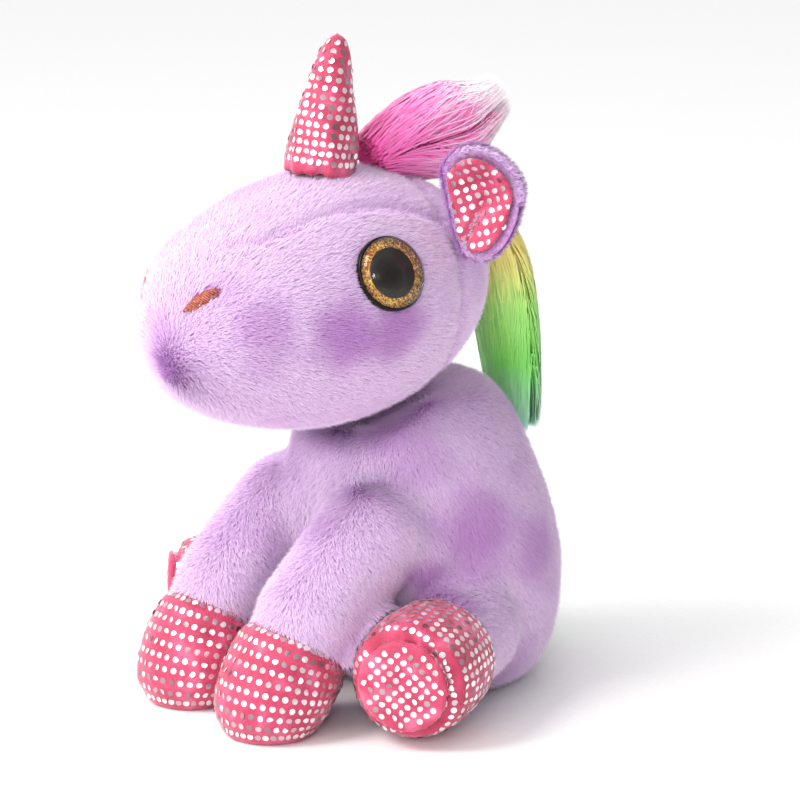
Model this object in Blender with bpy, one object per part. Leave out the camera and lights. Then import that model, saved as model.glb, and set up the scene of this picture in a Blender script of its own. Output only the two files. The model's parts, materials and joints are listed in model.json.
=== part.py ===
"""A sitting plush unicorn: sewn panels over stuffing, with soft joints at neck, ears, horn, legs and tail.

Lengths below are in millimetres and are turned to metres when a mesh is made. The toy faces -Y, its left
side is +X, and it sits on the plane z = 0. The origin is the middle of its footprint.
"""

import math

import bmesh
import bpy
import numpy as np
from mathutils import Matrix, Vector

MM = 0.001

# ---------------------------------------------------------------- driving dimensions
FABRIC = 2.4  # plush backing and pile together
FOIL = 1.2  # foil-dot knit, with its interlining
GAP = 0.35  # between neighbouring pieces
SEAM = 0.15  # half the gap at a seam
CLEAR = 0.7  # around a piece that moves
SPARE = 0.4  # more for the coarser form of a piece that a swept space is made from

HEAD_CENTRE = Vector((0, -13, 110))
HEAD_AXES = (37.0, 50.0, 34.0)
HEAD_TILT = 8  # degrees, nose down
HEAD_ROUND, HEAD_RINGS = 26, 12

NECK = Vector((0, 12, 82))
NECK_BALL = 10.5
TURN_RANGE = (-12, 12)
NOD_RANGE = (-6, 6)

# height above the seat, depth of the ring's middle, half width, half depth
TORSO_RINGS = (
    (0.0, 24.0, 29.0, 25.0),
    (2.6, 23.6, 32.0, 28.0),
    (10.0, 23.0, 36.0, 31.0),
    (22.0, 22.5, 38.8, 34.0),
    (36.0, 21.5, 38.8, 36.0),
    (52.0, 18.5, 36.5, 35.0),
    (66.0, 15.5, 33.0, 32.0),
    (76.0, 14.5, 29.0, 28.0),
    (83.0, 14.0, 23.0, 22.5),
)
TORSO_ROUND = 24
SEAT_TOP = FABRIC + 0.2
BELLY_HALF, BELLY_REAR = 10.5, 4.0

# pieces of the legs: points of the bent middle line from sole to joint, and radii along it
FRONT_LEG = {
    "line": ((18, -43, 0), (18, -43, 20), (19, -18, 42), (20, 0, 57)),
    "radii": (
        (0.0, 12.0), (0.06, 14.6), (0.14, 16.1), (0.24, 16.2), (0.36, 14.8),
        (0.46, 13.4), (0.60, 13.2), (0.80, 13.0), (1.0, 12.2),
    ),
    "across": (1, 0, 0),
    "seam": 0.38,
    "sleeve_end": 0.90,
    "swing": (-2, 14),
}
HIND_LEG = {
    "line": ((53.0, -26.0, 17.6), (42.5, -11.5, 17.6), (36, 7, 19.5), (30, 18, 23)),
    "radii": (
        (0.0, 12.4), (0.06, 14.8), (0.16, 16.4), (0.30, 16.8), (0.46, 16.0),
        (0.56, 14.6), (0.72, 14.4), (0.86, 14.2), (1.0, 13.8),
    ),
    "across": (0, 0, 1),
    "seam": 0.55,
    "sleeve_end": 0.92,
    "swing": (0, 12),
}
LEG_ROUND, LEG_STEPS = 16, 11
SOLE_THICK = 1.6
SOLE_SHARE = 0.16  # of the line, over which the rings stay level with the sole

EYE_MIDDLE_Y, EYE_MIDDLE_Z = -15.0, 122.0
EYE_RADIUS, EYE_DOME = 9.1, 5.2
EYE_SINK = 1.2
POST_RADIUS, POST_LENGTH = 1.9, 9.5
WASHER_RADIUS, WASHER_THICK = 6.2, 1.3

HORN_BASE = Vector((0, -12, 145.6))
HORN_TIP = Vector((0, -6.2, 179.4))
HORN_RADII = (9.6, 9.0, 7.6, 5.8, 4.0, 2.4)
HORN_RANGE = (-5, 5)

EAR_ROOT = Vector((28.0, 9.0, 134.0))
EAR_OUT = Vector((0.80, 0.54, 0.20)).normalized()
EAR_UP = Vector((-0.10, -0.12, 1.0))
EAR_LENGTH, EAR_HALF, EAR_THICK = 20.0, 15.0, 5.0
EAR_CLEAR = 0.9  # between the ear and the head
EAR_RANGE = (-12, 12)

NOSTRIL = (13.2, -56.8)

TAIL_ROOT = Vector((0, 60.5, 23))
TAIL_RANGE = (-12, 12)
FRAME_SHIFT = Vector((0, -2.47, 0))  # puts the middle of the footprint, tail included, at the origin


# ---------------------------------------------------------------- small helpers
def principled(name, colour, roughness, metallic=0.0):
    material = bpy.data.materials.new(name)
    material.use_nodes = True
    shader = material.node_tree.nodes["Principled BSDF"]
    shader.inputs["Base Color"].default_value = (*colour, 1)
    shader.inputs["Roughness"].default_value = roughness
    shader.inputs["Metallic"].default_value = metallic
    material.diffuse_color = (*colour, 1)
    return material


def mesh_from(points, faces):
    """A mesh in metres, with its normals out, from points in millimetres."""
    shape = bmesh.new()
    verts = [shape.verts.new(Vector(p) * MM) for p in points]
    for face in faces:
        shape.faces.new([verts[i] for i in face])
    bmesh.ops.recalc_face_normals(shape, faces=shape.faces)
    mesh = bpy.data.meshes.new("shape")
    shape.to_mesh(mesh)
    shape.free()
    return mesh


def ring_faces(a, b, count):
    return [(a + i, a + (i + 1) % count, b + (i + 1) % count, b + i) for i in range(count)]


def loft(rings, poles=(None, None)):
    """A closed solid through the rings. An end is a pole where one is given, and a flat face elsewhere."""
    count = len(rings[0])
    points = [p for ring in rings for p in ring]
    faces = []
    for k in range(len(rings) - 1):
        faces += ring_faces(k * count, (k + 1) * count, count)
    for start, pole in ((0, poles[0]), ((len(rings) - 1) * count, poles[1])):
        if pole is None:
            faces.append(tuple(start + i for i in range(count)))
            continue
        tip = len(points)
        points.append(pole)
        faces += [(start + i, start + (i + 1) % count, tip) for i in range(count)]
    return mesh_from(points, faces)


def band(outer, inner):
    """A closed wall between two lists of rings, open through its middle."""
    count, steps = len(outer[0]), len(outer)
    points = [p for ring in outer for p in ring] + [p for ring in inner for p in ring]
    shift = steps * count
    faces = []
    for k in range(steps - 1):
        faces += ring_faces(k * count, (k + 1) * count, count)
        faces += ring_faces(shift + k * count, shift + (k + 1) * count, count)
    faces += ring_faces(0, shift, count)
    faces += ring_faces((steps - 1) * count, shift + (steps - 1) * count, count)
    return mesh_from(points, faces)


def turned(profile, count, place=Matrix.Identity(4)):
    """A solid turned about local Z from (radius, height) pairs that end on the axis or at a flat face."""
    rings, poles = [], [None, None]
    for k, (radius, height) in enumerate(profile):
        if radius == 0:
            poles[0 if k == 0 else 1] = place @ Vector((0, 0, height))
            continue
        turns = [2 * math.pi * i / count for i in range(count)]
        rings.append([place @ Vector((radius * math.cos(t), radius * math.sin(t), height)) for t in turns])
    return loft(rings, poles)


def ellipsoid(centre, axes, tilt, count, steps):
    """Rings about the long Y axis, nose pole first, turned nose down by the tilt."""
    turn = Matrix.Rotation(math.radians(tilt), 3, "X")
    rings = []
    for k in range(1, steps):
        along = math.pi * k / steps
        ring = []
        for i in range(count):
            t = 2 * math.pi * (i + 0.5) / count
            x = axes[0] * math.sin(along) * math.sin(t)
            z = axes[2] * math.sin(along) * math.cos(t)
            ring.append(centre + turn @ Vector((x, -axes[1] * math.cos(along), z)))
        rings.append(ring)
    poles = [centre + turn @ Vector((0, sign * axes[1], 0)) for sign in (-1, 1)]
    return loft(rings, poles)


def helper(mesh, name="cutter"):
    cutter = bpy.data.objects.new(name, mesh)
    cutter.hide_render = True
    cutter.display_type = "WIRE"
    bpy.context.scene.collection.objects.link(cutter)
    return cutter


def combine(mesh, others, operation="DIFFERENCE"):
    """The mesh after one Boolean with each of the others, without any crumbs that a cut leaves."""
    work = helper(mesh, "work")
    cutters = [helper(other) for other in others]
    for cutter in cutters:
        step = work.modifiers.new("cut", "BOOLEAN")
        step.operation = operation
        step.object = cutter
        step.solver = "MANIFOLD"
    graph = bpy.context.evaluated_depsgraph_get()
    result = bpy.data.meshes.new_from_object(work.evaluated_get(graph))
    for item in [work] + cutters:
        bpy.data.objects.remove(item)
    keep_largest(result)
    return result


def keep_largest(mesh):
    shape = bmesh.new()
    shape.from_mesh(mesh)
    bmesh.ops.remove_doubles(shape, verts=shape.verts, dist=0.004 * MM)
    bmesh.ops.dissolve_degenerate(shape, edges=shape.edges, dist=0.004 * MM)
    shape.verts.ensure_lookup_table()
    left, islands = set(shape.verts), []
    while left:
        stack, island = [left.pop()], set()
        while stack:
            vert = stack.pop()
            island.add(vert)
            for edge in vert.link_edges:
                other = edge.other_vert(vert)
                if other in left:
                    left.remove(other)
                    stack.append(other)
        islands.append(island)
    islands.sort(key=len)
    for island in islands[:-1]:
        bmesh.ops.delete(shape, geom=list(island), context="VERTS")
    shape.to_mesh(mesh)
    shape.free()


def box_mesh(low, high):
    xs, ys, zs = zip(low, high)
    points = [(x, y, z) for x in xs for y in ys for z in zs]
    faces = [(0, 1, 3, 2), (4, 6, 7, 5), (0, 4, 5, 1), (2, 3, 7, 6), (0, 2, 6, 4), (1, 5, 7, 3)]
    return mesh_from(points, faces)


def prism(outline, low, high):
    """A closed upright prism over an outline of (x, y) points."""
    return loft([[Vector((x, y, z)) for x, y in outline] for z in (low, high)])


def hull_of(clouds):
    """The convex hull of several lists of points."""
    shape = bmesh.new()
    for cloud in clouds:
        for p in cloud:
            shape.verts.new(Vector(p) * MM)
    bmesh.ops.convex_hull(shape, input=shape.verts)
    loose = [v for v in shape.verts if not v.link_faces]
    bmesh.ops.delete(shape, geom=loose, context="VERTS")
    bmesh.ops.recalc_face_normals(shape, faces=shape.faces)
    mesh = bpy.data.meshes.new("hull")
    shape.to_mesh(mesh)
    shape.free()
    return mesh


def points_of(mesh):
    return [v.co / MM for v in mesh.vertices]


def turned_about(points, pivot, axis, degrees):
    turn = Matrix.Rotation(math.radians(degrees), 3, axis)
    return [pivot + turn @ (Vector(p) - pivot) for p in points]


def add_part(name, mesh, material, pivot):
    """The named piece, with its origin on the axis that it moves about."""
    mesh.name = name
    origin = (pivot + FRAME_SHIFT) * MM
    mesh.transform(Matrix.Translation(FRAME_SHIFT * MM - origin))
    mesh.materials.clear()
    mesh.materials.append(material)
    piece = bpy.data.objects.new(name, mesh)
    piece.location = origin
    bpy.context.scene.collection.objects.link(piece)
    for polygon in mesh.polygons:
        polygon.use_smooth = True
    mesh.set_sharp_from_angle(angle=math.radians(40))
    return piece


def mirrored(mesh):
    copy = mesh.copy()
    copy.transform(Matrix.Diagonal((-1, 1, 1, 1)))
    copy.flip_normals()
    return copy


# ---------------------------------------------------------------- the head's form
def head_form(inset, count=HEAD_ROUND, steps=HEAD_RINGS):
    axes = [a - inset for a in HEAD_AXES]
    return ellipsoid(HEAD_CENTRE, axes, HEAD_TILT, count, steps)


def head_surface(x, y, upper=True):
    """The point of the head's skin above or below (x, y), by bisection, and its normal."""
    turn = Matrix.Rotation(math.radians(-HEAD_TILT), 3, "X")

    def level(z):
        local = turn @ (Vector((x, y, z)) - HEAD_CENTRE)
        return sum((c / a) ** 2 for c, a in zip(local, HEAD_AXES)) - 1

    inner, outer = HEAD_CENTRE.z, HEAD_CENTRE.z + (70 if upper else -70)
    for _ in range(40):
        middle = (inner + outer) / 2
        inner, outer = (middle, outer) if level(middle) < 0 else (inner, middle)
    point = Vector((x, y, inner))
    return point, head_normal(point)


def head_normal(point):
    turn = Matrix.Rotation(math.radians(-HEAD_TILT), 3, "X")
    local = turn @ (point - HEAD_CENTRE)
    return (turn.transposed() @ Vector([c / a**2 for c, a in zip(local, HEAD_AXES)])).normalized()


def head_side(y, z):
    """The point of the head's skin at the left side of (y, z)."""
    turn = Matrix.Rotation(math.radians(-HEAD_TILT), 3, "X")
    local = turn @ Vector((0, y - HEAD_CENTRE.y, z - HEAD_CENTRE.z))
    rest = 1 - (local.y / HEAD_AXES[1]) ** 2 - (local.z / HEAD_AXES[2]) ** 2
    point = Vector((HEAD_AXES[0] * math.sqrt(rest), y, z))
    return point, head_normal(point)


def facing(point, normal, up=Vector((0, 0, 1))):
    """A frame at the point with its Z along the normal and its Y near up."""
    side = up.cross(normal).normalized()
    rise = normal.cross(side)
    frame = Matrix((side, rise, normal)).transposed().to_4x4()
    return Matrix.Translation(point) @ frame


# ---------------------------------------------------------------- legs along a bent line
def bezier(points, t):
    a, b, c, d = (Vector(p) for p in points)
    s = 1 - t
    return a * s**3 + 3 * b * s**2 * t + 3 * c * s * t**2 + d * t**3


def bezier_way(points, t):
    a, b, c, d = (Vector(p) for p in points)
    s = 1 - t
    return (3 * (b - a) * s**2 + 6 * (c - b) * s * t + 3 * (d - c) * t**2).normalized()


def ring_way(leg, t):
    """The way that a ring at t faces: as the sole does at first, so that the hoof stays level with it."""
    return bezier_way(leg["line"], max(0.0, (t - SOLE_SHARE) / (1 - SOLE_SHARE)))


def between(pairs, t):
    return float(np.interp(t, [p[0] for p in pairs], [p[1] for p in pairs]))


def leg_ring(leg, t, inset, lift=0.0):
    """One ring across the leg at t, drawn in by the inset and moved along the line by the lift."""
    middle, way = bezier(leg["line"], t), ring_way(leg, t)
    across = Vector(leg["across"])
    side = (across - way * way.dot(across)).normalized()
    other = way.cross(side)
    radius = between(leg["radii"], t) - inset
    ring = []
    for i in range(LEG_ROUND):
        turn = 2 * math.pi * i / LEG_ROUND
        ring.append(middle + way * lift + (side * math.cos(turn) + other * math.sin(turn)) * radius)
    return ring


def leg_rings(leg, start, end, inset, steps):
    return [leg_ring(leg, start + (end - start) * k / steps, inset) for k in range(steps + 1)]


def joint_dome(leg, inset):
    """Rings of the rounded end at the leg's joint, and its pole."""
    middle, way = bezier(leg["line"], 1), bezier_way(leg["line"], 1)
    radius = leg["radii"][-1][1] - inset
    rings = []
    for k in (1, 2, 3):
        rise = math.radians(24 * k)
        lift = radius * math.sin(rise)
        rings.append(leg_ring(leg, 1, leg["radii"][-1][1] - radius * math.cos(rise), lift))
    return rings, middle + way * radius


def length_of(leg):
    steps = [bezier(leg["line"], k / 40) for k in range(41)]
    return sum((b - a).length for a, b in zip(steps, steps[1:]))


def leg_pieces(leg):
    """The meshes of one leg: sole, hoof cap, sleeve and stuffing, and the space that the leg sweeps."""
    long = length_of(leg)
    seam, end = leg["seam"], leg["sleeve_end"]
    sole_top = (SOLE_THICK + GAP) / long
    gap = SEAM / long
    sole_rings = [leg_ring(leg, 0, 0)]
    sole_rings.append(leg_ring(leg, 0.001, -0.5, SOLE_THICK / 2))
    sole_rings.append(leg_ring(leg, 0.001, 0, SOLE_THICK))
    sole = loft(sole_rings)
    cap = band(
        leg_rings(leg, sole_top * 1.8, seam - gap, 0, 6),
        leg_rings(leg, sole_top * 1.8, seam - gap, FOIL, 6),
    )
    sleeve = band(
        leg_rings(leg, seam + gap, end, 0, 4),
        leg_rings(leg, seam + gap, end, FABRIC, 4),
    )
    inner = [leg_ring(leg, sole_top * 1.8, FOIL + GAP)]
    inner += leg_rings(leg, sole_top * 3.2, seam - gap * 6, FOIL + GAP, 4)
    inner += leg_rings(leg, seam - gap * 2, end, FABRIC + GAP, 4)
    dome, pole = joint_dome(leg, FABRIC + GAP)
    stuffing = loft(inner + [leg_ring(leg, 1, FABRIC + GAP)] + dome, (None, pole))
    sweep_rings = leg_rings(leg, seam, 1, -CLEAR - SPARE, 4)
    dome, pole = joint_dome(leg, -CLEAR - SPARE)
    cloud = [p for ring in sweep_rings + dome[::2] for p in ring[::2]] + [pole]
    low, high = leg["swing"]
    pivot = Vector(leg["line"][3])
    angles = (low - 0.5, (low + high) / 2, high + 0.5)
    space = hull_of([turned_about(cloud, pivot, "X", -a) for a in angles])
    return sole, cap, sleeve, stuffing, space


# ---------------------------------------------------------------- torso
def torso_form(inset, bottom):
    """The torso's form drawn in by the inset, with its flat bottom at the given height."""
    rings = []
    for height, depth, half_wide, half_deep in TORSO_RINGS:
        ring = []
        for i in range(TORSO_ROUND):
            t = 2 * math.pi * (i + 0.5) / TORSO_ROUND
            x = (half_wide - inset) * math.sin(t)
            y = depth - (half_deep - inset) * math.cos(t)
            top = TORSO_RINGS[-1][0]
            z = max(bottom, min(height, top - inset * (height / top) ** 3))
            ring.append(Vector((x, y, z)))
        if not rings or ring[0].z > rings[-1][0].z + 0.5:
            rings.append(ring)
    return loft(rings)


def clear_scene():
    for item in list(bpy.data.objects):
        bpy.data.objects.remove(item)


clear_scene()

PLUSH = principled("lavender_plush", (0.62, 0.38, 0.66), 0.95)
FOIL_KNIT = principled("pink_foil_dot_knit", (0.75, 0.06, 0.16), 0.5)
FILL = principled("polyester_fibre_fill", (0.85, 0.85, 0.83), 1.0)
BAG = principled("pellet_bag_nonwoven", (0.75, 0.75, 0.72), 0.9)
CLEAR_PLASTIC = principled("clear_acrylic", (0.9, 0.9, 0.9), 0.05)
GLITTER = principled("gold_glitter_film", (0.55, 0.3, 0.08), 0.35, 0.6)
BLACK_PLASTIC = principled("black_plastic", (0.02, 0.02, 0.02), 0.3)
WHITE_PLASTIC = principled("white_polyethylene", (0.8, 0.8, 0.8), 0.4)
THREAD = principled("brown_embroidery_thread", (0.45, 0.12, 0.05), 0.6)
PINK_PILE = principled("pink_long_pile", (0.95, 0.2, 0.5), 0.95)
RAINBOW_PILE = principled("rainbow_long_pile", (0.3, 0.6, 0.12), 0.95)

# ---------------------------------------------------------------- legs
LEGS = {"front": FRONT_LEG, "hind": HIND_LEG}
leg_spaces = []
for which, leg in LEGS.items():
    made = leg_pieces(leg)
    leg_spaces += [made[4], mirrored(made[4])]
    pivot = Vector(leg["line"][3])
    names = ("sole", "hoof_cap", "sleeve", "stuffing")
    materials = (FOIL_KNIT, FOIL_KNIT, PLUSH, FILL)
    for piece, mesh, material in zip(names, made, materials):
        other_side = Vector((-pivot.x, pivot.y, pivot.z))
        add_part(f"{which}_{piece}_right", mirrored(mesh), material, other_side)
        add_part(f"{which}_{piece}_left", mesh, material, pivot)

# ---------------------------------------------------------------- head sweep, neck and torso
head_outer = head_form(0)
head_cloud = points_of(head_form(-CLEAR - 2 * SPARE, 16, 8))
moved_heads = []
for turn in (*TURN_RANGE, 0):
    for nod in (*NOD_RANGE, 0):
        moved_heads.append(turned_about(turned_about(head_cloud, NECK, "X", nod), NECK, "Z", turn))
head_space = hull_of(moved_heads)
neck_place = Matrix.Translation(NECK)
ball = [(0, -1.0)]
ball += [(math.cos(math.radians(a)), math.sin(math.radians(a))) for a in range(-60, 61, 20)]
ball.append((0, 1.0))


def neck_ball(radius, count=14):
    return turned([(radius * r, radius * h) for r, h in ball], count, neck_place)


torso_cuts = [head_space, neck_ball(NECK_BALL + CLEAR)] + leg_spaces
BAG_LOW, BAG_HIGH, BAG_HALF = FABRIC + 0.8, 15.0, 20.0
bag_place = Matrix.Translation((0, TORSO_RINGS[1][1], 0))
bag_profile = [(BAG_HALF * 0.7, BAG_LOW), (BAG_HALF, BAG_LOW + 3)]
bag_profile += [(BAG_HALF, BAG_HIGH - 4), (BAG_HALF * 0.6, BAG_HIGH)]
pellet_bag = turned(bag_profile, 18, bag_place)
bag_edge = BAG_HALF + 0.6
bag_space = [(bag_edge, -5), (bag_edge, BAG_HIGH - 3), (BAG_HALF * 0.7, BAG_HIGH + 0.8)]
bag_room = turned(bag_space, 18, bag_place)

skin = combine(torso_form(0, 0), [torso_form(FABRIC, FABRIC)] + torso_cuts)
torso_fill = combine(torso_form(FABRIC + GAP, SEAT_TOP + GAP), torso_cuts + [bag_room])
WIDE, TALL = 90.0, 200.0
above_seat = SEAT_TOP + SEAM
belly_low, belly_high = (-BELLY_HALF, -WIDE, above_seat), (BELLY_HALF, BELLY_REAR, TALL)
belly_wide = box_mesh((-BELLY_HALF - GAP, -WIDE, -5), (BELLY_HALF + GAP, BELLY_REAR + GAP, TALL))
seat = combine(skin.copy(), [box_mesh((-WIDE, -WIDE, -5), (WIDE, WIDE, SEAT_TOP - SEAM))], "INTERSECT")
belly = combine(skin.copy(), [box_mesh(belly_low, belly_high)], "INTERSECT")
side_left = combine(skin.copy(), [box_mesh((SEAM, -WIDE, above_seat), (WIDE, WIDE, TALL))], "INTERSECT")
side_left = combine(side_left, [belly_wide])
add_part("torso_side_right", mirrored(side_left), PLUSH, NECK)
add_part("torso_side_left", side_left, PLUSH, NECK)
add_part("belly_panel", belly, PLUSH, NECK)
add_part("seat_panel", seat, PLUSH, NECK)
add_part("torso_stuffing", torso_fill, FILL, NECK)
add_part("pellet_bag", pellet_bag, BAG, NECK)
add_part("neck_plug", neck_ball(NECK_BALL), PLUSH, NECK)

# ---------------------------------------------------------------- eyes
eye_point, eye_way = head_side(EYE_MIDDLE_Y, EYE_MIDDLE_Z)
eye_place = facing(eye_point, eye_way)
plate_back = -EYE_SINK - 0.3
dome_profile = [(EYE_RADIUS, -EYE_SINK + 0.75)]
for angle in range(15, 90, 15):
    rise = math.radians(angle)
    dome_profile.append((EYE_RADIUS * math.cos(rise), -EYE_SINK + 0.9 + EYE_DOME * math.sin(rise)))
dome_profile.append((0, -EYE_SINK + 0.9 + EYE_DOME))
EYE_ROUND = 24
plate_edge = EYE_RADIUS - 0.3
iris_profile = [(plate_edge, -EYE_SINK + 0.1), (plate_edge, -EYE_SINK + 0.5)]
post_end = plate_back - POST_LENGTH
post_profile = [(POST_RADIUS * 0.6, post_end), (POST_RADIUS, post_end + 1.5), (POST_RADIUS, plate_back)]
post_profile += [(EYE_RADIUS, plate_back), (EYE_RADIUS, -EYE_SINK - 0.2)]
washer_top = -FABRIC - 1.15
washer_low = washer_top - WASHER_THICK


def flat_ring(radius, height, count=16):
    turns = [2 * math.pi * i / count for i in range(count)]
    return [eye_place @ Vector((radius * math.cos(t), radius * math.sin(t), height)) for t in turns]


washer_walls = []
for radius in (WASHER_RADIUS, POST_RADIUS + 0.3):
    washer_walls.append([flat_ring(radius, washer_low), flat_ring(radius, washer_top)])
eye_pieces = {
    "eye_dome": (turned(dome_profile, EYE_ROUND, eye_place), CLEAR_PLASTIC),
    "eye_iris": (turned(iris_profile, EYE_ROUND, eye_place), GLITTER),
    "eye_post": (turned(post_profile, EYE_ROUND, eye_place), BLACK_PLASTIC),
    "eye_washer": (band(*washer_walls), WHITE_PLASTIC),
}
seat_edge, post_edge, washer_edge = EYE_RADIUS + 0.4, POST_RADIUS + 0.4, WASHER_RADIUS + 0.5
eye_seat = turned([(seat_edge, plate_back - 0.3), (seat_edge, 9)], EYE_ROUND, eye_place)
post_room = turned([(post_edge, post_end - 0.6), (post_edge, 9)], 16, eye_place)
washer_room = turned([(washer_edge, washer_low - 0.5), (washer_edge, 9)], 16, eye_place)
eye_rooms = [eye_seat, mirrored(eye_seat), post_room, mirrored(post_room)]
fill_rooms = [washer_room, mirrored(washer_room), post_room, mirrored(post_room)]
for name, (mesh, material) in eye_pieces.items():
    add_part(f"{name}_right", mirrored(mesh), material, NECK)
    add_part(f"{name}_left", mesh, material, NECK)

# ---------------------------------------------------------------- head panels
neck_room = neck_ball(NECK_BALL + CLEAR)
head_skin = combine(head_outer, [head_form(FABRIC), neck_room] + eye_rooms)
head_fill = combine(head_form(FABRIC + GAP), [neck_room] + fill_rooms)
BACK_SEAM_Y = 10.0
GUSSET = ((10, -50), (16, -45), (21, -14), (24, BACK_SEAM_Y))
gusset_side = [(x, y) for x, y in GUSSET]
outline = gusset_side + [(-x, y) for x, y in reversed(gusset_side)]
gusset_low = HEAD_CENTRE.z - 4
GUSSET_SHARE = 0.97  # of the opening between the cheeks
narrow = [(x * GUSSET_SHARE, y * GUSSET_SHARE - 0.1 * (y > 0)) for x, y in outline]
gusset_box = prism(narrow, gusset_low, TALL)
gusset_wide = prism([(x, y + 5 * (y > 0)) for x, y in outline], gusset_low - GAP, TALL)
back_box = box_mesh((-WIDE, BACK_SEAM_Y, 0), (WIDE, WIDE, TALL))
front_left = box_mesh((SEAM, -WIDE, 0), (WIDE, BACK_SEAM_Y - GAP, TALL))
gusset = combine(head_skin.copy(), [gusset_box], "INTERSECT")
head_back = combine(head_skin.copy(), [back_box], "INTERSECT")
cheek = combine(combine(head_skin.copy(), [front_left], "INTERSECT"), [gusset_wide])
add_part("cheek_right", mirrored(cheek), PLUSH, NECK)
add_part("cheek_left", cheek, PLUSH, NECK)
add_part("forehead_gusset", gusset, PLUSH, NECK)
add_part("head_back", head_back, PLUSH, NECK)
add_part("head_stuffing", head_fill, FILL, NECK)

# ---------------------------------------------------------------- nostril embroidery
nostril_point, nostril_way = head_surface(*NOSTRIL)
NOSTRIL_TURN = 42  # degrees
nostril_place = facing(nostril_point + nostril_way * 1.0, nostril_way)
nostril_place = nostril_place @ Matrix.Rotation(math.radians(NOSTRIL_TURN), 4, "Z")
NOSTRIL_SIZE = (4.6, 1.7, 0.45)
pad = []
for height, share in ((-0.8, 0.6), (0.0, 1.0), (0.8, 0.6)):
    ring = []
    for i in range(12):
        t = 2 * math.pi * i / 12
        x, y, z = NOSTRIL_SIZE
        ring.append(nostril_place @ Vector((x * share * math.cos(t), y * share * math.sin(t), z * height)))
    pad.append(ring)
nostril = loft(pad)
add_part("nostril_stitching_right", mirrored(nostril), THREAD, NECK)
add_part("nostril_stitching_left", nostril, THREAD, NECK)

# ---------------------------------------------------------------- horn
horn_way = (HORN_TIP - HORN_BASE).normalized()
horn_place = facing(HORN_BASE, horn_way, Vector((0, -1, 0)))
horn_long = (HORN_TIP - HORN_BASE).length
HORN_ROUND = 16
heights = [horn_long * share for share in (0.0, 0.2, 0.42, 0.64, 0.84, 0.95)]
outer = [(r, h) for r, h in zip(HORN_RADII, heights)] + [(0, horn_long)]
inner = [(r - FOIL, h) for r, h in zip(HORN_RADII[:-1], heights)] + [(0, horn_long - 2 * FOIL)]
hollow = [(HORN_RADII[0] - FOIL + 0.2, -6)] + inner
horn_cover = combine(turned(outer, HORN_ROUND, horn_place), [turned(hollow, HORN_ROUND, horn_place)])
core = [(inner[0][0] - GAP, inner[0][1] + 0.3)]
core += [(r - GAP, h - GAP) for r, h in inner[1:-1]]
core.append((0, horn_long - 3 * FOIL - GAP))
horn_core = turned(core, HORN_ROUND, horn_place)
head_clear = head_form(-1.5)
add_part("horn_cover", combine(horn_cover, [head_clear]), FOIL_KNIT, HORN_BASE)
add_part("horn_stuffing", combine(horn_core, [head_clear]), FILL, HORN_BASE)


# ---------------------------------------------------------------- ears
def slab(near, far):
    """A closed sheet between two grids of points, both listed row by row."""
    rows, columns = len(near), len(near[0])
    points = [p for row in near for p in row] + [p for row in far for p in row]
    shift = rows * columns
    faces = []
    for r in range(rows - 1):
        for c in range(columns - 1):
            i = r * columns + c
            corners = (i, i + 1, i + columns + 1, i + columns)
            faces += [corners, tuple(shift + k for k in corners)]
    rim = [c for c in range(columns)]
    rim += [r * columns + columns - 1 for r in range(1, rows)]
    rim += [(rows - 1) * columns + c for c in range(columns - 2, -1, -1)]
    rim += [r * columns for r in range(rows - 2, 0, -1)]
    faces += [(a, b, shift + b, shift + a) for a, b in zip(rim, rim[1:] + rim[:1])]
    return mesh_from(points, faces)


def ear_layer(near, far):
    """One cloth layer of the left ear: a rounded petal between two depths, cupped towards the front."""
    up = (EAR_UP - EAR_OUT * EAR_UP.dot(EAR_OUT)).normalized()
    front = up.cross(EAR_OUT).normalized()
    front = -front if front.y > 0 else front
    grids = [[], []]
    for k in range(9):
        along = k / 8
        half = EAR_HALF * math.sin(math.pi * (0.20 + 0.78 * along)) ** 0.6
        place = EAR_ROOT + EAR_OUT * (EAR_LENGTH * along) + up * (4.0 * along)
        cup = 5.0 * math.sin(math.pi * along * 0.9)
        thick = EAR_THICK * (0.75 + 0.25 * math.sin(math.pi * along))
        for grid, depth in zip(grids, (near, far)):
            row = []
            for side in (-1, -0.8, -0.4, 0, 0.4, 0.8, 1):
                bend = cup * (side**2 - 0.45) + thick * depth
                row.append(place + up * (half * side) + front * bend)
            grid.append(row)
    return slab(*grids)


ear_outer = combine(ear_layer(-0.5, 0.08), [head_form(-EAR_CLEAR)])
ear_lining = combine(ear_layer(0.08 + GAP / EAR_THICK * 1.4, 0.5), [head_form(-EAR_CLEAR)])
right_root = Vector((-EAR_ROOT.x, EAR_ROOT.y, EAR_ROOT.z))
for name, mesh, material in (("outer", ear_outer, PLUSH), ("lining", ear_lining, FOIL_KNIT)):
    add_part(f"ear_{name}_right", mirrored(mesh), material, right_root)
    add_part(f"ear_{name}_left", mesh, material, EAR_ROOT)


# ---------------------------------------------------------------- long pile: forelock, mane and tail
def tuft(stations, count=14):
    """A closed lock of pile from stations of (middle, half width, half thickness), with round ends."""
    middles = [Vector(s[0]) for s in stations]
    rings = []
    for k, (middle, wide, thick) in enumerate(stations):
        ahead, behind = middles[min(k + 1, len(middles) - 1)], middles[max(k - 1, 0)]
        way = (ahead - behind).normalized()
        side = Vector((1, 0, 0)) - way * way.x
        side.normalize()
        other = way.cross(side)
        ring = []
        for i in range(count):
            t = 2 * math.pi * i / count
            ring.append(Vector(middle) + side * (wide * math.cos(t)) + other * (thick * math.sin(t)))
        rings.append(ring)
    return loft(rings)


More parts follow.
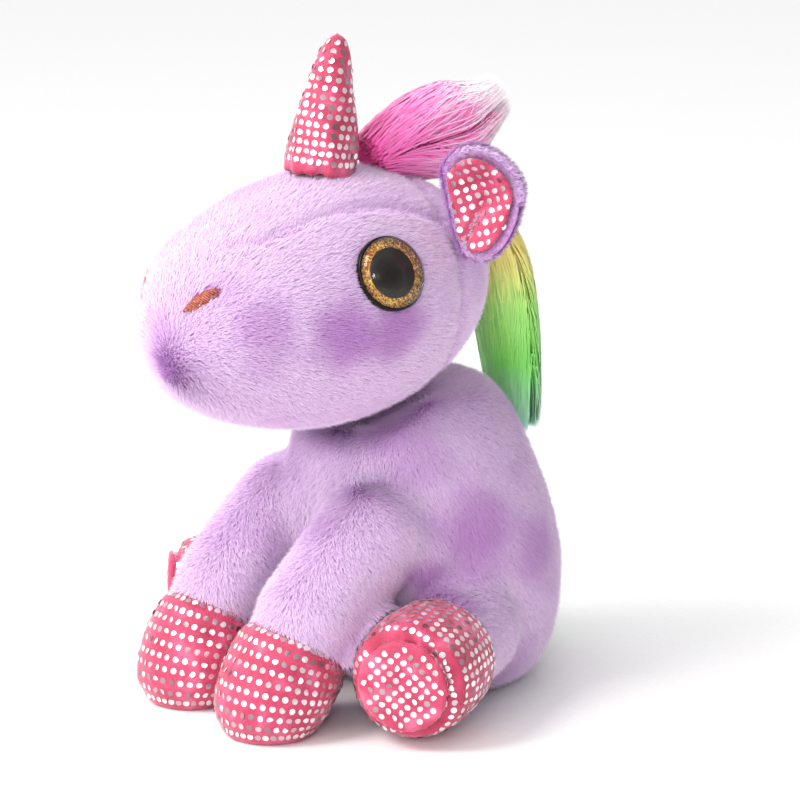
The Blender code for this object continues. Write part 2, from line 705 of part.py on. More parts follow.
# stations of each lock: middle, half width and half thickness
FORELOCK = (
    ((0, 4, 146.5), 4, 2.5),
    ((0, 11, 148), 7.5, 7),
    ((0, 20, 149.5), 9.5, 10.5),
    ((0, 30, 152), 9, 12.5),
    ((0, 39, 155.5), 7, 9),
    ((0, 46, 158.5), 3, 3.5),
)
MANE = (
    ((0, 33, 132), 5, 3),
    ((0, 40.5, 125), 9.5, 8),
    ((0, 46.5, 112), 11, 9),
    ((0, 50.5, 97), 11, 8),
    ((0, 53, 82), 9.5, 6.5),
    ((0, 54.5, 70), 6, 3.5),
    ((0, 55, 65), 2.5, 1.5),
)
TAIL = (
    ((1, 60.5, 24), 2.6, 2.6),
    ((-6, 61.5, 22), 5, 5),
    ((-14, 61.5, 17), 6, 6),
    ((-24, 58.5, 12), 6, 6),
    ((-33, 53, 9), 5, 5),
    ((-40, 46, 8), 2.5, 2.5),
)
add_part("forelock", combine(tuft(FORELOCK), [head_form(-0.4)]), PINK_PILE, NECK)
add_part("mane", combine(tuft(MANE), [head_form(-0.4)]), RAINBOW_PILE, NECK)
add_part("tail", tuft(TAIL), RAINBOW_PILE, TAIL_ROOT)
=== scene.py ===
# %% [markdown]
# # A sitting plush unicorn
# The toy is sewn from short lavender plush over fibre stuffing. Horn, ear linings and hooves are a
# thin pink knit printed with silver foil dots. Mane, forelock and tail are long combed pile, and the
# eyes are clear acrylic domes over a glitter disc. The measured model gives every place and size, so
# this lesson only adds the surfaces: stuffed forms, pile, dots, threads, hair and light.

# %% Load the fixed frame
import json
import math

import bmesh
import bpy
import numpy as np
from mathutils import Matrix, Vector, noise
from mathutils.bvhtree import BVHTree


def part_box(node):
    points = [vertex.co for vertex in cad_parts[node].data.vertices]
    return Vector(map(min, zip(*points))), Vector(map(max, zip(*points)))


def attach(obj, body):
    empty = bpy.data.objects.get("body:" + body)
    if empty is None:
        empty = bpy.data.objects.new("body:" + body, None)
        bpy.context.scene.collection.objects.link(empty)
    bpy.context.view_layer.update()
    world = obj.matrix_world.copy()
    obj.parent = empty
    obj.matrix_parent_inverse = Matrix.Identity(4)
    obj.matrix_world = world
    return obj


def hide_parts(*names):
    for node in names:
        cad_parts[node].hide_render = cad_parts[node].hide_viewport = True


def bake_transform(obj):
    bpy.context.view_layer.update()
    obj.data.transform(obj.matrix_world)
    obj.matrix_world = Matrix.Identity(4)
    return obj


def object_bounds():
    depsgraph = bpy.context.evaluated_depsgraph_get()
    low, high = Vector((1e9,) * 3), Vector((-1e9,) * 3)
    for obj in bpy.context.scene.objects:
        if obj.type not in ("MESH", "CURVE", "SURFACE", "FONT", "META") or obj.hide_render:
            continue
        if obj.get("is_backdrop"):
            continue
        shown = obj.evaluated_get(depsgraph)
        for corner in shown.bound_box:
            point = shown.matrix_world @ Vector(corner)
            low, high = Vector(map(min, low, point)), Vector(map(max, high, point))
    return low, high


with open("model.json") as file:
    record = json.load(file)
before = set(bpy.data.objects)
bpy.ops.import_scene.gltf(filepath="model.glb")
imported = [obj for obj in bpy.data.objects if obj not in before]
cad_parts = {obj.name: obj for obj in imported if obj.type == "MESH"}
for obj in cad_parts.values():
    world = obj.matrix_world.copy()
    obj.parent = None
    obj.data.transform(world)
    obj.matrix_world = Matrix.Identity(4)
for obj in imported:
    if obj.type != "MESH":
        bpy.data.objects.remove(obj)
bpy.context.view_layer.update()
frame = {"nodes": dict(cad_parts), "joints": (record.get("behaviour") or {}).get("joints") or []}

MM = 0.001
nodes = frame["nodes"]
print(len(nodes), "pieces in the frame")

# %% [markdown]
# ## Small helpers
# A colour is written as the hex value seen on a screen, which is sRGB, while a shader wants linear
# light. One function adds a node of any kind, sets what it is given and links what comes from other
# nodes. The same function serves materials and Geometry Nodes.


# %% Colours and nodes
def linear(hex_colour):
    """The linear RGBA of a #RRGGBB colour."""
    parts = [int(hex_colour[i : i + 2], 16) / 255 for i in (1, 3, 5)]
    return (*[p / 12.92 if p <= 0.04045 else ((p + 0.055) / 1.055) ** 2.4 for p in parts], 1.0)


def give(item, inputs):
    """Fills a node's inputs: a socket is linked, and anything else is set as a value."""
    for socket, value in inputs.items():
        if isinstance(value, bpy.types.NodeSocket):
            item.id_data.links.new(value, item.inputs[socket])
        else:
            item.inputs[socket].default_value = value


def add(tree, kind, inputs=None, **settings):
    """A new node with its settings, whose inputs are given values or sockets to link."""
    item = tree.nodes.new(kind)
    for name, value in settings.items():
        setattr(item, name, value)
    give(item, inputs or {})
    return item


def new_material(name):
    """An empty node material: (material, tree, its Principled shader)."""
    material = bpy.data.materials.new(name)
    material.use_nodes = True
    tree = material.node_tree
    tree.nodes.clear()
    shader = add(tree, "ShaderNodeBsdfPrincipled")
    add(tree, "ShaderNodeOutputMaterial", {"Surface": shader.outputs[0]})
    return material, tree, shader


def ramp(tree, factor, stops):
    """A colour ramp over (place, hex colour) stops."""
    item = add(tree, "ShaderNodeValToRGB", {"Fac": factor})
    row = item.color_ramp.elements
    while len(row) > 1:
        row.remove(row[-1])
    for k, (place, colour) in enumerate(stops):
        stop = row[0] if k == 0 else row.new(place)
        stop.position = place
        stop.color = linear(colour)
    return item.outputs["Color"]


def grained(name, stops, scale, finish, detail=2.0):
    """A plain surface whose colour drifts over its stops with a fine noise."""
    material, tree, shader = new_material(name)
    place = add(tree, "ShaderNodeTexCoord").outputs["Object"]
    noisy = {"Vector": place, "Scale": scale, "Detail": detail}
    grain = add(tree, "ShaderNodeTexNoise", noisy).outputs["Fac"]
    give(shader, {"Base Color": ramp(tree, grain, stops), **finish})
    return material


# %% Objects and meshes
def show(name, mesh, *materials):
    """A finished piece: its place is in its mesh and its faces are smooth."""
    mesh.name = name
    mesh.materials.clear()
    for material in materials:
        mesh.materials.append(material)
    mesh.polygons.foreach_set("use_smooth", [True] * len(mesh.polygons))
    piece = bpy.data.objects.new(name, mesh)
    bpy.context.scene.collection.objects.link(piece)
    return piece


def applied(piece):
    """The mesh that an object's modifiers make, with the object itself removed."""
    graph = bpy.context.evaluated_depsgraph_get()
    mesh = bpy.data.meshes.new_from_object(piece.evaluated_get(graph))
    bpy.data.objects.remove(piece)
    return mesh


def coordinates(mesh):
    """The points of a mesh, one row each."""
    flat = np.empty(len(mesh.vertices) * 3)
    mesh.vertices.foreach_get("co", flat)
    return flat.reshape(-1, 3)


def normals(mesh):
    """The way out of a mesh at each point."""
    flat = np.empty(len(mesh.vertices) * 3)
    mesh.vertex_normals.foreach_get("vector", flat)
    return flat.reshape(-1, 3)


def moved(mesh, points):
    """The mesh with its points put in new places."""
    mesh.vertices.foreach_set("co", np.asarray(points).ravel())
    mesh.update()
    return mesh


def unit(vectors):
    return vectors / np.maximum(np.linalg.norm(vectors, axis=-1, keepdims=True), 1e-12)


def tree_of(mesh):
    """A search tree for rays, from any mesh."""
    return BVHTree.FromPolygons([v.co for v in mesh.vertices], [p.vertices for p in mesh.polygons])


# %% [markdown]
# ## Stuffed forms
# A sewn and stuffed body has no hard corners: fibre pushes the cloth out between its seams. The
# measured panels are joined and remeshed into one skin, relaxed, and then blown up a little as cloth
# under pressure, which rounds the form the way stuffing does. A cap keeps each point near the model.


# %% From measured nodes to one soft skin
def skin_over(names, voxel, relax, draw_in):
    """One smooth closed skin over the named nodes, drawn in by a distance to leave room for pile."""
    shape = bmesh.new()
    for name in names:
        shape.from_mesh(nodes[name].data)
    bmesh.ops.remove_doubles(shape, verts=shape.verts, dist=0.01 * MM)
    joined = bpy.data.meshes.new("joined")
    shape.to_mesh(joined)
    shape.free()
    work = show("work", joined)
    remesh = work.modifiers.new("one skin", "REMESH")
    remesh.mode = "VOXEL"
    remesh.voxel_size = voxel
    smooth = work.modifiers.new("relax", "SMOOTH")
    smooth.factor = 0.5
    smooth.iterations = relax
    mesh = outer_island(applied(work))
    return moved(mesh, coordinates(mesh) - normals(mesh) * draw_in)


def outer_island(mesh):
    """Only the largest connected surface, without the pockets that a remesh leaves inside."""
    shape = bmesh.new()
    shape.from_mesh(mesh)
    left, islands = set(shape.verts), []
    while left:
        stack, island = [left.pop()], []
        while stack:
            vert = stack.pop()
            island.append(vert)
            for edge in vert.link_edges:
                other = edge.other_vert(vert)
                if other in left:
                    left.remove(other)
                    stack.append(other)
        islands.append(island)
    islands.sort(key=len)
    for island in islands[:-1]:
        bmesh.ops.delete(shape, geom=island, context="VERTS")
    shape.to_mesh(mesh)
    shape.free()
    return mesh


# %% Inflate as cloth
def inflated(mesh, pressure, cap):
    """The skin after twenty frames of cloth under pressure, with no point moved further than the cap."""
    start = coordinates(mesh)
    work = show("blown", mesh)
    cloth = work.modifiers.new("stuffing", "CLOTH")
    cloth.settings.use_pressure = True
    cloth.settings.uniform_pressure_force = pressure
    cloth.settings.effector_weights.gravity = 0
    cloth.settings.tension_stiffness = 25
    cloth.settings.compression_stiffness = 25
    for number in range(1, 21):
        bpy.context.scene.frame_set(number)
    soft = applied(work)
    bpy.context.scene.frame_set(1)
    shift = coordinates(soft) - start
    far = np.maximum(np.linalg.norm(shift, axis=1, keepdims=True), 1e-12)
    return moved(soft, start + shift * np.minimum(1, cap / far))


# %% [markdown]
# ## Short plush pile
# Plush is a knit backing with cut fibres about 3 mm long that lean with the nap. Fibres clump at their
# tips, so a narrow blade stands for one clump. Geometry Nodes scatter the blades over the backing,
# lean each along a nap direction stored on the mesh, and make them real. The colour runs from a deep
# root, painted shade deep in the pile, to a pale tip. It deepens in slow patches that are partly nap
# that a hand has laid the other way and partly painted shade.


# %% The plush materials
def plush_pile(name, root, middle, tip, deep):
    """Polyester plush, cut and raised by brushing: matt, a soft sheen at grazing angles, paler at the tips,
    with painted shade at the roots and in patches.
    """
    material, tree, shader = new_material(name)
    along = add(tree, "ShaderNodeAttribute", attribute_name="along").outputs["Fac"]
    shade = add(tree, "ShaderNodeAttribute", attribute_name="shade").outputs["Fac"]
    # Painted shade: where this mask is high the colour turns to the deep colour, partly for reversed nap and
    # partly for shade.
    reversed_nap_and_shade_patch = add(tree, "ShaderNodeAttribute", attribute_name="reversed_nap_and_shade").outputs["Fac"]
    # Painted shade: the root colour is darker for the shade deep in the pile.
    body = ramp(tree, along, [(0.0, root), (0.5, middle), (1.0, tip)])
    reversed_nap_and_shade = add(
        tree, "ShaderNodeMix", {0: reversed_nap_and_shade_patch, 6: body, 7: linear(deep)}, data_type="RGBA"
    )
    spread = add(tree, "ShaderNodeMapRange", {"Value": shade, "To Min": 0.9, "To Max": 1.08})
    hue = add(
        tree,
        "ShaderNodeHueSaturation",
        {"Value": spread.outputs[0], "Color": reversed_nap_and_shade.outputs[2]},
    )
    give(shader, {"Base Color": hue.outputs[0], "Roughness": 0.9, "Specular IOR Level": 0.25})
    give(shader, {"Sheen Weight": 0.35, "Sheen Roughness": 0.45, "Sheen Tint": linear("#F6E4FF")})
    return material


def plush_backing(name, low, high):
    """The knit ground under the pile, with loops 0.9 mm apart."""
    material, tree, shader = new_material(name)
    place = add(tree, "ShaderNodeTexCoord").outputs["Object"]
    loops = add(tree, "ShaderNodeTexVoronoi", {"Vector": place, "Scale": 1100.0})
    colour = ramp(tree, loops.outputs["Distance"], [(0.0, high), (0.7, low)])
    relief = {"Height": loops.outputs["Distance"], "Strength": 0.5, "Distance": 0.3 * MM}
    bump = add(tree, "ShaderNodeBump", relief)
    give(shader, {"Base Color": colour, "Normal": bump.outputs[0], "Roughness": 0.95})
    return material


# Painted shade: the darker root colour and the last, deep colour stand for shade in the pile and in the
# darker patches.
LAVENDER_PILE = plush_pile("lavender_polyester_plush", "#CC90D8", "#E8C8F0", "#F6E4F8", "#BE7CCC")
LAVENDER_GROUND = plush_backing("lavender_knit_ground", "#C088CA", "#DDB2E2")


# %% One blade, for every clump of fibres
def blade_template():
    """One tapering face, unit long along Z and unit wide along X, with its front towards +Y."""
    mesh = bpy.data.meshes.new("blade")
    mesh.from_pydata([(-0.5, 0, 0), (0.5, 0, 0), (0, 0, 1)], [], [(0, 2, 1)])
    along = mesh.attributes.new("along", "FLOAT", "POINT")
    along.data.foreach_set("value", [0, 0, 1])
    piece = bpy.data.objects.new("blade", mesh)
    bpy.context.scene.collection.objects.link(piece)
    return piece


blade = blade_template()


# %% The scattering tree
def interface(tree, rows):
    """The tree's named inputs and its geometry output: (group input node, {name: identifier})."""
    tree.interface.new_socket("Geometry", in_out="INPUT", socket_type="NodeSocketGeometry")
    for name, kind in rows:
        tree.interface.new_socket(name, in_out="INPUT", socket_type=kind)
    tree.interface.new_socket("Geometry", in_out="OUTPUT", socket_type="NodeSocketGeometry")
    names = {s.name: s.identifier for s in tree.interface.items_tree if s.in_out == "INPUT"}
    return tree.nodes.new("NodeGroupInput"), names


def pile_tree():
    """Scatters blades over a backing, leans them along its nap and makes them real."""
    tree = bpy.data.node_groups.new("Short pile", "GeometryNodeTree")
    rows = [
        ("Density", "NodeSocketFloat"),
        ("Length", "NodeSocketFloat"),
        ("Width", "NodeSocketFloat"),
        ("Jitter", "NodeSocketFloat"),
        ("Seed", "NodeSocketInt"),
        ("Blade", "NodeSocketObject"),
        ("Material", "NodeSocketMaterial"),
    ]
    given, names = interface(tree, rows)
    take = given.outputs
    points = add(
        tree,
        "GeometryNodeDistributePointsOnFaces",
        {"Mesh": take["Geometry"], "Density": take["Density"], "Seed": take["Seed"]},
    )
    nap = add(tree, "GeometryNodeInputNamedAttribute", {"Name": "nap"}, data_type="FLOAT_VECTOR")
    share = add(tree, "GeometryNodeInputNamedAttribute", {"Name": "reach"}, data_type="FLOAT")
    stray = add(
        tree,
        "FunctionNodeRandomValue",
        {0: (-1, -1, -1), 1: (1, 1, 1), "Seed": take["Seed"]},
        data_type="FLOAT_VECTOR",
    )
    stray_by = {0: stray.outputs[0], "Scale": take["Jitter"]}
    wander = add(tree, "ShaderNodeVectorMath", stray_by, operation="SCALE")
    lean = add(tree, "ShaderNodeVectorMath", {0: nap.outputs[0], 1: wander.outputs[0]}, operation="ADD")
    stand = add(tree, "FunctionNodeAlignRotationToVector", {"Vector": lean.outputs[0]}, axis="Z")
    turn = add(
        tree,
        "FunctionNodeAlignRotationToVector",
        {"Rotation": stand.outputs[0], "Vector": points.outputs["Normal"]},
        axis="Y",
        pivot_axis="Z",
    )
    spread = add(tree, "FunctionNodeRandomValue", {2: 0.72, 3: 1.2, "Seed": 7}, data_type="FLOAT")
    length = add(tree, "ShaderNodeMath", {0: take["Length"], 1: spread.outputs[1]}, operation="MULTIPLY")
    cut = add(tree, "ShaderNodeMath", {0: length.outputs[0], 1: share.outputs[0]}, operation="MULTIPLY")
    size = add(tree, "ShaderNodeCombineXYZ", {0: take["Width"], 1: cut.outputs[0], 2: cut.outputs[0]})
    model = add(tree, "GeometryNodeObjectInfo", {"Object": take["Blade"]})
    placed = add(
        tree,
        "GeometryNodeInstanceOnPoints",
        {
            "Points": points.outputs[0],
            "Instance": model.outputs["Geometry"],
            "Rotation": turn.outputs[0],
            "Scale": size.outputs[0],
        },
    )
    tone = add(tree, "FunctionNodeRandomValue", {2: 0.0, 3: 1.0, "Seed": 11}, data_type="FLOAT")
    toned = add(
        tree,
        "GeometryNodeStoreNamedAttribute",
        {"Geometry": placed.outputs[0], "Name": "shade", "Value": tone.outputs[1]},
        data_type="FLOAT",
        domain="INSTANCE",
    )
    grounded = add(
        tree,
        "GeometryNodeStoreNamedAttribute",
        {"Geometry": toned.outputs[0], "Name": "ground", "Value": points.outputs["Normal"]},
        data_type="FLOAT_VECTOR",
        domain="INSTANCE",
    )
    real = add(tree, "GeometryNodeRealizeInstances", {"Geometry": grounded.outputs[0]})
    done = add(tree, "GeometryNodeSetMaterial", {"Geometry": real.outputs[0], "Material": take["Material"]})
    add(tree, "NodeGroupOutput", {"Geometry": done.outputs[0]})
    return tree, names


PILE_TREE, PILE_INPUTS = pile_tree()


def grown(mesh, tree, names, values):
    """The plain mesh that a Geometry Nodes tree makes from a mesh, given its inputs by name."""
    work = bpy.data.objects.new("grown", mesh)
    bpy.context.scene.collection.objects.link(work)
    step = work.modifiers.new("grow", "NODES")
    step.node_group = tree
    for name, value in values.items():
        step[names[name]] = value
    return applied(work)


# %% Nap directions
# Patches where the colour deepens, partly nap that a hand has laid the other way and partly painted shade
# over the cheeks, flanks, thigh and back: middle in mm, radius in mm, strength.
REVERSED_NAP_AND_SHADE = [
    ((34, -32, 107), 10, 0.8),
    ((37, -18, 108), 9, 0.8),
    ((24, -52, 110), 8, 0.5),
    ((37, 10, 50), 12, 0.7),
    ((34, 29, 42), 9, 0.55),
    ((38, -4, 38), 9, 0.9),
    ((-36, -24, 104), 11, 0.6),
    ((-37, 12, 46), 12, 0.6),
    ((0, 46, 60), 10, 0.4),
]


def reversed_nap_and_shade_share(points):
    """How far each point's colour deepens, partly for nap laid the other way and partly as painted shade,
    with ragged edges.
    """
    total = np.zeros(len(points))
    rough = np.array([noise.noise(Vector(p) * 120) for p in points])
    for middle, radius, strength in REVERSED_NAP_AND_SHADE:
        far = np.linalg.norm(points / MM - np.array(middle), axis=1) / radius
        total = np.maximum(total, strength * np.exp(-((far * (1 + 0.45 * rough)) ** 4)))
    faint = np.array([noise.noise(Vector(p) * 60) for p in points])
    return np.clip(np.maximum(total, faint * 0.7 - 0.08), 0, 1)


def set_nap(mesh, flow, rise, seams=(), reach=1.0):
    """Stores how the pile leans: along the flow, raised off the cloth, and short and parted at seams."""
    points, out = coordinates(mesh), normals(mesh)
    along = flow(points)
    along = unit(along - out * (along * out).sum(1, keepdims=True))
    slope = rise(points) if callable(rise) else np.full(len(points), rise)
    nap = unit(along * np.cos(slope)[:, None] + out * np.sin(slope)[:, None])
    share = np.full(len(points), reach)
    for distance, away, width in seams:
        near = np.exp(-((distance(points) / width) ** 2))
        lift = away(points)
        lift = lift - out * (lift * out).sum(1, keepdims=True)
        nap = unit(nap + unit(lift) * near[:, None] * 0.9)
        share *= 1 - 0.55 * near
    rows = [
        ("nap", "FLOAT_VECTOR", nap),
        ("reach", "FLOAT", share),
        # The mask of deeper colour, partly reversed nap and partly painted shade.
        ("reversed_nap_and_shade", "FLOAT", reversed_nap_and_shade_share(points)),
    ]
    for name, kind, values in rows:
        row = mesh.attributes.new(name, kind, "POINT")
        row.data.foreach_set("vector" if kind == "FLOAT_VECTOR" else "value", values.ravel())


PILE_LENGTH = 2.7 * MM
PILE_WIDTH = 0.27 * MM
NAP_RISE = math.radians(27)  # how steeply the pile stands off the cloth
PER_M2 = 15e6
SOFTNESS = 0.8  # how far each fibre takes its light from the cloth under it, as a dense pile does


def soften(mesh):
    """Turns each fibre's shading normals most of the way to those of the cloth that it grows on."""
    ground = np.empty(len(mesh.vertices) * 3)
    mesh.attributes["ground"].data.foreach_get("vector", ground)
    own = normals(mesh)
    mesh.attributes.remove(mesh.attributes["ground"])
    soft = unit(ground.reshape(-1, 3) * SOFTNESS + own * (1 - SOFTNESS))
    mesh.polygons.foreach_set("use_smooth", [True] * len(mesh.polygons))
    mesh.normals_split_custom_set_from_vertices(soft.tolist())
    return mesh


def pile_on(name, mesh, seed):
    """The pile piece that grows on a backing mesh."""
    values = {
        "Density": PER_M2,
        "Length": PILE_LENGTH,
        "Width": PILE_WIDTH,
        "Jitter": 0.3,
        "Seed": seed,
        "Blade": blade,
        "Material": LAVENDER_PILE,
    }
    made = soften(grown(mesh.copy(), PILE_TREE, PILE_INPUTS, values))
    piece = show(name, made, LAVENDER_PILE)
    print(name, len(made.polygons), "faces")
    return piece


# %% [markdown]
# ## Cutting a form into its panels
# The skin of a form is one mesh, but it moves and is sewn as panels. A panel is the faces whose
# middles answer to a rule, such as being above the cheek seam.


# %% Faces by rule
def part_of(mesh, rule):
    """The faces whose middles satisfy the rule, as a mesh of their own."""
    middles = np.empty(len(mesh.polygons) * 3)
    mesh.polygons.foreach_get("center", middles)
    keep = rule(middles.reshape(-1, 3))
    shape = bmesh.new()
    shape.from_mesh(mesh)
    shape.faces.ensure_lookup_table()
    lost = [face for face, kept in zip(shape.faces, keep) if not kept]
    bmesh.ops.delete(shape, geom=lost, context="FACES")
    cut = bpy.data.meshes.new("panel")
    shape.to_mesh(cut)
    shape.free()
    return cut


def backed(name, mesh, material, thickness=0.8 * MM):
    """A panel's cloth: the open surface given a wall, so that it is a closed sheet."""
    work = show(name, mesh, material)
    wall = work.modifiers.new("cloth", "SOLIDIFY")
    wall.thickness = thickness
    wall.offset = -1
    return show(name, applied(work), material)


# %% [markdown]
# ## The legs' lines
# Each leg has a line from the middle of its sole through its hoof and sleeve to the joint. The hoof
# ends at the seam where cap and sleeve meet, found as the sleeve's points nearest to the cap.


# %% Read the legs from the frame
def middle_of(name):
    low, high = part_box(name)
    return (low + high) / 2


def seam_of(cap, sleeve):
    """(middle, direction into the sleeve) of the seam between two nodes."""
    a, b = coordinates(nodes[cap].data), coordinates(nodes[sleeve].data)
    towards = np.array(middle_of(sleeve) - middle_of(cap))
    towards /= np.linalg.norm(towards)
    height = b @ towards
    from_line = b[[np.linalg.norm(a - p, axis=1).min() < 0.6 * MM for p in b]]
    middle = from_line.mean(0) if len(from_line) > 3 else b[height < np.percentile(height, 20)].mean(0)
    _, _, axes = np.linalg.svd(from_line - middle)
    way = axes[2] if axes[2] @ towards > 0 else -axes[2]
    return Vector(middle), Vector(way)


JOINTS = {joint["child"]: joint for joint in frame["joints"]}
LEG_NAMES = [f"{which}_leg_{side}" for which in ("front", "hind") for side in ("left", "right")]
legs = {}
for leg_name in LEG_NAMES:
    which, _, side = leg_name.split("_")
    seam, seam_way = seam_of(f"{which}_hoof_cap_{side}", f"{which}_sleeve_{side}")
    pivot = Vector(JOINTS[leg_name]["pos_m"])
    sole = middle_of(f"{which}_sole_{side}")
    legs[leg_name] = {
        "which": which,
        "side": side,
        "sole": sole,
        "seam": seam,
        "seam_way": seam_way,
        "pivot": pivot,
        "way": (seam - pivot).normalized(),
    }
    print(leg_name, "seam at", [round(c / MM, 1) for c in seam])

# %% [markdown]
# ## The body
# Torso and legs are one skin at first, so that the thighs and shoulders run into the body without a
# crease, as the long seams of the real toy do under their pile. It is then split: a leg's sleeve is
# what lies beyond the joint and before the hoof.

# %% Torso and leg forms
TORSO_PANELS = ["torso_side_left", "torso_side_right", "belly_panel", "seat_panel"]
TORSO_NODES = [*TORSO_PANELS, "torso_stuffing", "neck_plug", "pellet_bag"]
leg_nodes = [
    f"{leg['which']}_{piece}_{leg['side']}"
    for leg in legs.values()
    for piece in ("sole", "hoof_cap", "sleeve", "stuffing")
]
PILE_ROOM = 1.5 * MM
STUFFING_PRESSURE = 4.0
SHOULDER_FULLNESS, SEAT_FULLNESS = 2.2 * MM, 2.4 * MM
body_skin = skin_over(TORSO_NODES + leg_nodes, 2.3 * MM, 20, PILE_ROOM)
body_skin = inflated(body_skin, STUFFING_PRESSURE, 1.0 * MM)


def smooth_step(values, low, high):
    """0 below low, 1 above high, and a smooth rise between them."""
    share = np.clip((values - low) / (high - low), 0, 1)
    return share * share * (3 - 2 * share)


def leg_share(leg, points):
    """(distance out along the leg from its joint, distance from the leg's line) of points."""
    pivot, way = np.array(leg["pivot"]), np.array(leg["way"])
    out = (points - pivot) @ way
    return out, np.linalg.norm(points - pivot - out[:, None] * way, axis=1)


# The front sleeves are stuffed fuller than their measured solids, and so is the seat.
for leg in legs.values():
    if leg["which"] == "front":
        points, out = coordinates(body_skin), normals(body_skin)
        along, off = leg_share(leg, points)
        full = smooth_step(along, -4 * MM, 10 * MM) * (1 - smooth_step(off, 15 * MM, 20 * MM))
        behind = (points - np.array(leg["seam"])) @ np.array(leg["seam_way"])
        full *= smooth_step(behind, -1 * MM, 9 * MM)
        moved(body_skin, points + out * (full * SHOULDER_FULLNESS)[:, None])
points, out = coordinates(body_skin), normals(body_skin)
rear = np.clip((points[:, 1] - 8 * MM) / (25 * MM), 0, 1) * np.clip(points[:, 2] / (14 * MM), 0, 1)
moved(body_skin, points + out * (rear * SEAT_FULLNESS)[:, None])
print("body skin", len(body_skin.vertices), "points")


# %% Split it
SLEEVE_START = 2 * MM
HALF_LEG = {"front": 16.5 * MM, "hind": 18.5 * MM}


def on_leg(leg, points):
    """Whether points belong to a leg: beyond its joint and near its line."""
    out, off = leg_share(leg, points)
    return (out > SLEEVE_START) & (off < HALF_LEG[leg["which"]])


def past_seam(leg, points, spare=0.0):
    """Whether points are on the hoof's side of the leg's seam, and near enough to be the leg's."""
    behind = (points - np.array(leg["seam"])) @ np.array(leg["seam_way"])
    near = np.linalg.norm(points - np.array((leg["seam"] + leg["sole"]) / 2), axis=1) < 30 * MM
    return (behind < -spare) & near & on_leg(leg, points)


def in_torso(points):
    return ~np.any([on_leg(leg, points) for leg in legs.values()], axis=0)


def toward(place):
    """A flow that runs to one place from everywhere."""
    return lambda points: unit(np.array(place) - points)


DOWN = np.array((0.0, 0.0, -1.0))


def torso_flow(points):
    """The torso's nap runs down, and a little back over the flanks."""
    back = np.zeros_like(points)
    back[:, 1] = 0.35
    return unit(DOWN + back)


set_nap(body_skin, torso_flow, NAP_RISE)
torso_skin = part_of(body_skin, in_torso)
torso_piece = backed("torso_ground", torso_skin, LAVENDER_GROUND)
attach(torso_piece, "torso")
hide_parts(*TORSO_PANELS, "torso_stuffing")
side_rules = {
    "torso_pile_left": lambda p: (p[:, 0] > 0) & (p[:, 2] > 2 * MM),
    "torso_pile_right": lambda p: (p[:, 0] <= 0) & (p[:, 2] > 2 * MM),
}
for seed, (name, rule) in enumerate(side_rules.items()):
    pile = pile_on(name, part_of(torso_skin, rule), seed=seed + 3)
    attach(pile, "torso")

# %% Sleeves
for seed, (leg_name, leg) in enumerate(legs.items()):
    which, side = leg["which"], leg["side"]
    sleeve_skin = part_of(body_skin, lambda p: on_leg(leg, p) & ~past_seam(leg, p, 1.0 * MM))
    start = leg["pivot"] + leg["way"] * SLEEVE_START
    set_nap(sleeve_skin, toward(leg["sole"]), NAP_RISE)
    ground = backed(f"{which}_sleeve_ground_{side}", sleeve_skin, LAVENDER_GROUND)
    pile = pile_on(f"{which}_sleeve_pile_{side}", sleeve_skin, seed=seed + 20)
    for piece in (ground, pile):
        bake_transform(piece)
    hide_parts(f"{which}_sleeve_{side}", f"{which}_stuffing_{side}")

# %% [markdown]
# ## The head
# Two cheeks, a forehead gusset and a back panel meet at seams, where the pile parts in a fine line.
# The nap runs back from the nose. The skin dips around each eye, where the washer pulls the plate in.

# %% Head form
HEAD_NODES = ["cheek_left", "cheek_right", "forehead_gusset", "head_back", "head_stuffing"]
head_low = Vector(map(min, *(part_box(n)[0] for n in HEAD_NODES[:4])))
head_high = Vector(map(max, *(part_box(n)[1] for n in HEAD_NODES[:4])))
gusset_low, gusset_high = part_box("forehead_gusset")
head_skin = skin_over(HEAD_NODES + ["neck_plug"], 2.2 * MM, 10, PILE_ROOM - 0.5 * MM)
head_skin = inflated(head_skin, STUFFING_PRESSURE, 1.0 * MM)
nose = np.array((0.0, head_low.y - 2 * MM, head_low.z + 0.26 * (head_high.z - head_low.z)))
SEAM_WIDTH, SEAM_DEPTH = 1.5 * MM, 1.1 * MM
GUSSET_HALF = ((gusset_low.y, 11 * MM), (gusset_low.y + 5 * MM, 16 * MM), (gusset_high.y, 24 * MM))


def gusset_half(points):
    """Half the gusset's width at each point."""
    return np.interp(points[:, 1], [y for y, _ in GUSSET_HALF], [x for _, x in GUSSET_HALF])


def upper(points):
    return points[:, 2] > gusset_low.z


def seam_distance(points):
    """How far each point is from the seams between cheeks and gusset, or from the back seam."""
    side = np.abs(np.abs(points[:, 0]) - gusset_half(points))
    ahead = (points[:, 1] < gusset_high.y) & (points[:, 1] > gusset_low.y - 2 * MM) & upper(points)
    return np.where(ahead, side, 1.0)


def off_seam(points):
    """Away from the cheek seam, to each side of it."""
    sign = np.sign(np.abs(points[:, 0]) - gusset_half(points)) * np.sign(points[:, 0])
    return np.stack([sign, np.zeros(len(points)), np.zeros(len(points))], 1)


def back_distance(points):
    return np.abs(points[:, 1] - gusset_high.y)


def off_back(points):
    sign = np.sign(points[:, 1] - gusset_high.y)
    return np.stack([np.zeros(len(points)), sign, np.zeros(len(points))], 1)


def head_flow(points):
    """Back from the nose, and down over the cheeks."""
    away = unit(points - nose)
    away[:, 2] -= 0.35
    return unit(away)


def fuller_muzzle(points):
    """Carries the muzzle forward, which the stuffing there does more than in the model's ellipsoid."""
    share = np.clip((head_low.y + 38 * MM - points[:, 1]) / (32 * MM), 0, 1)
    forward = np.zeros_like(points)
    forward[:, 1] = -3.6 * MM * share**2 * (3 - 2 * share)
    return points + forward


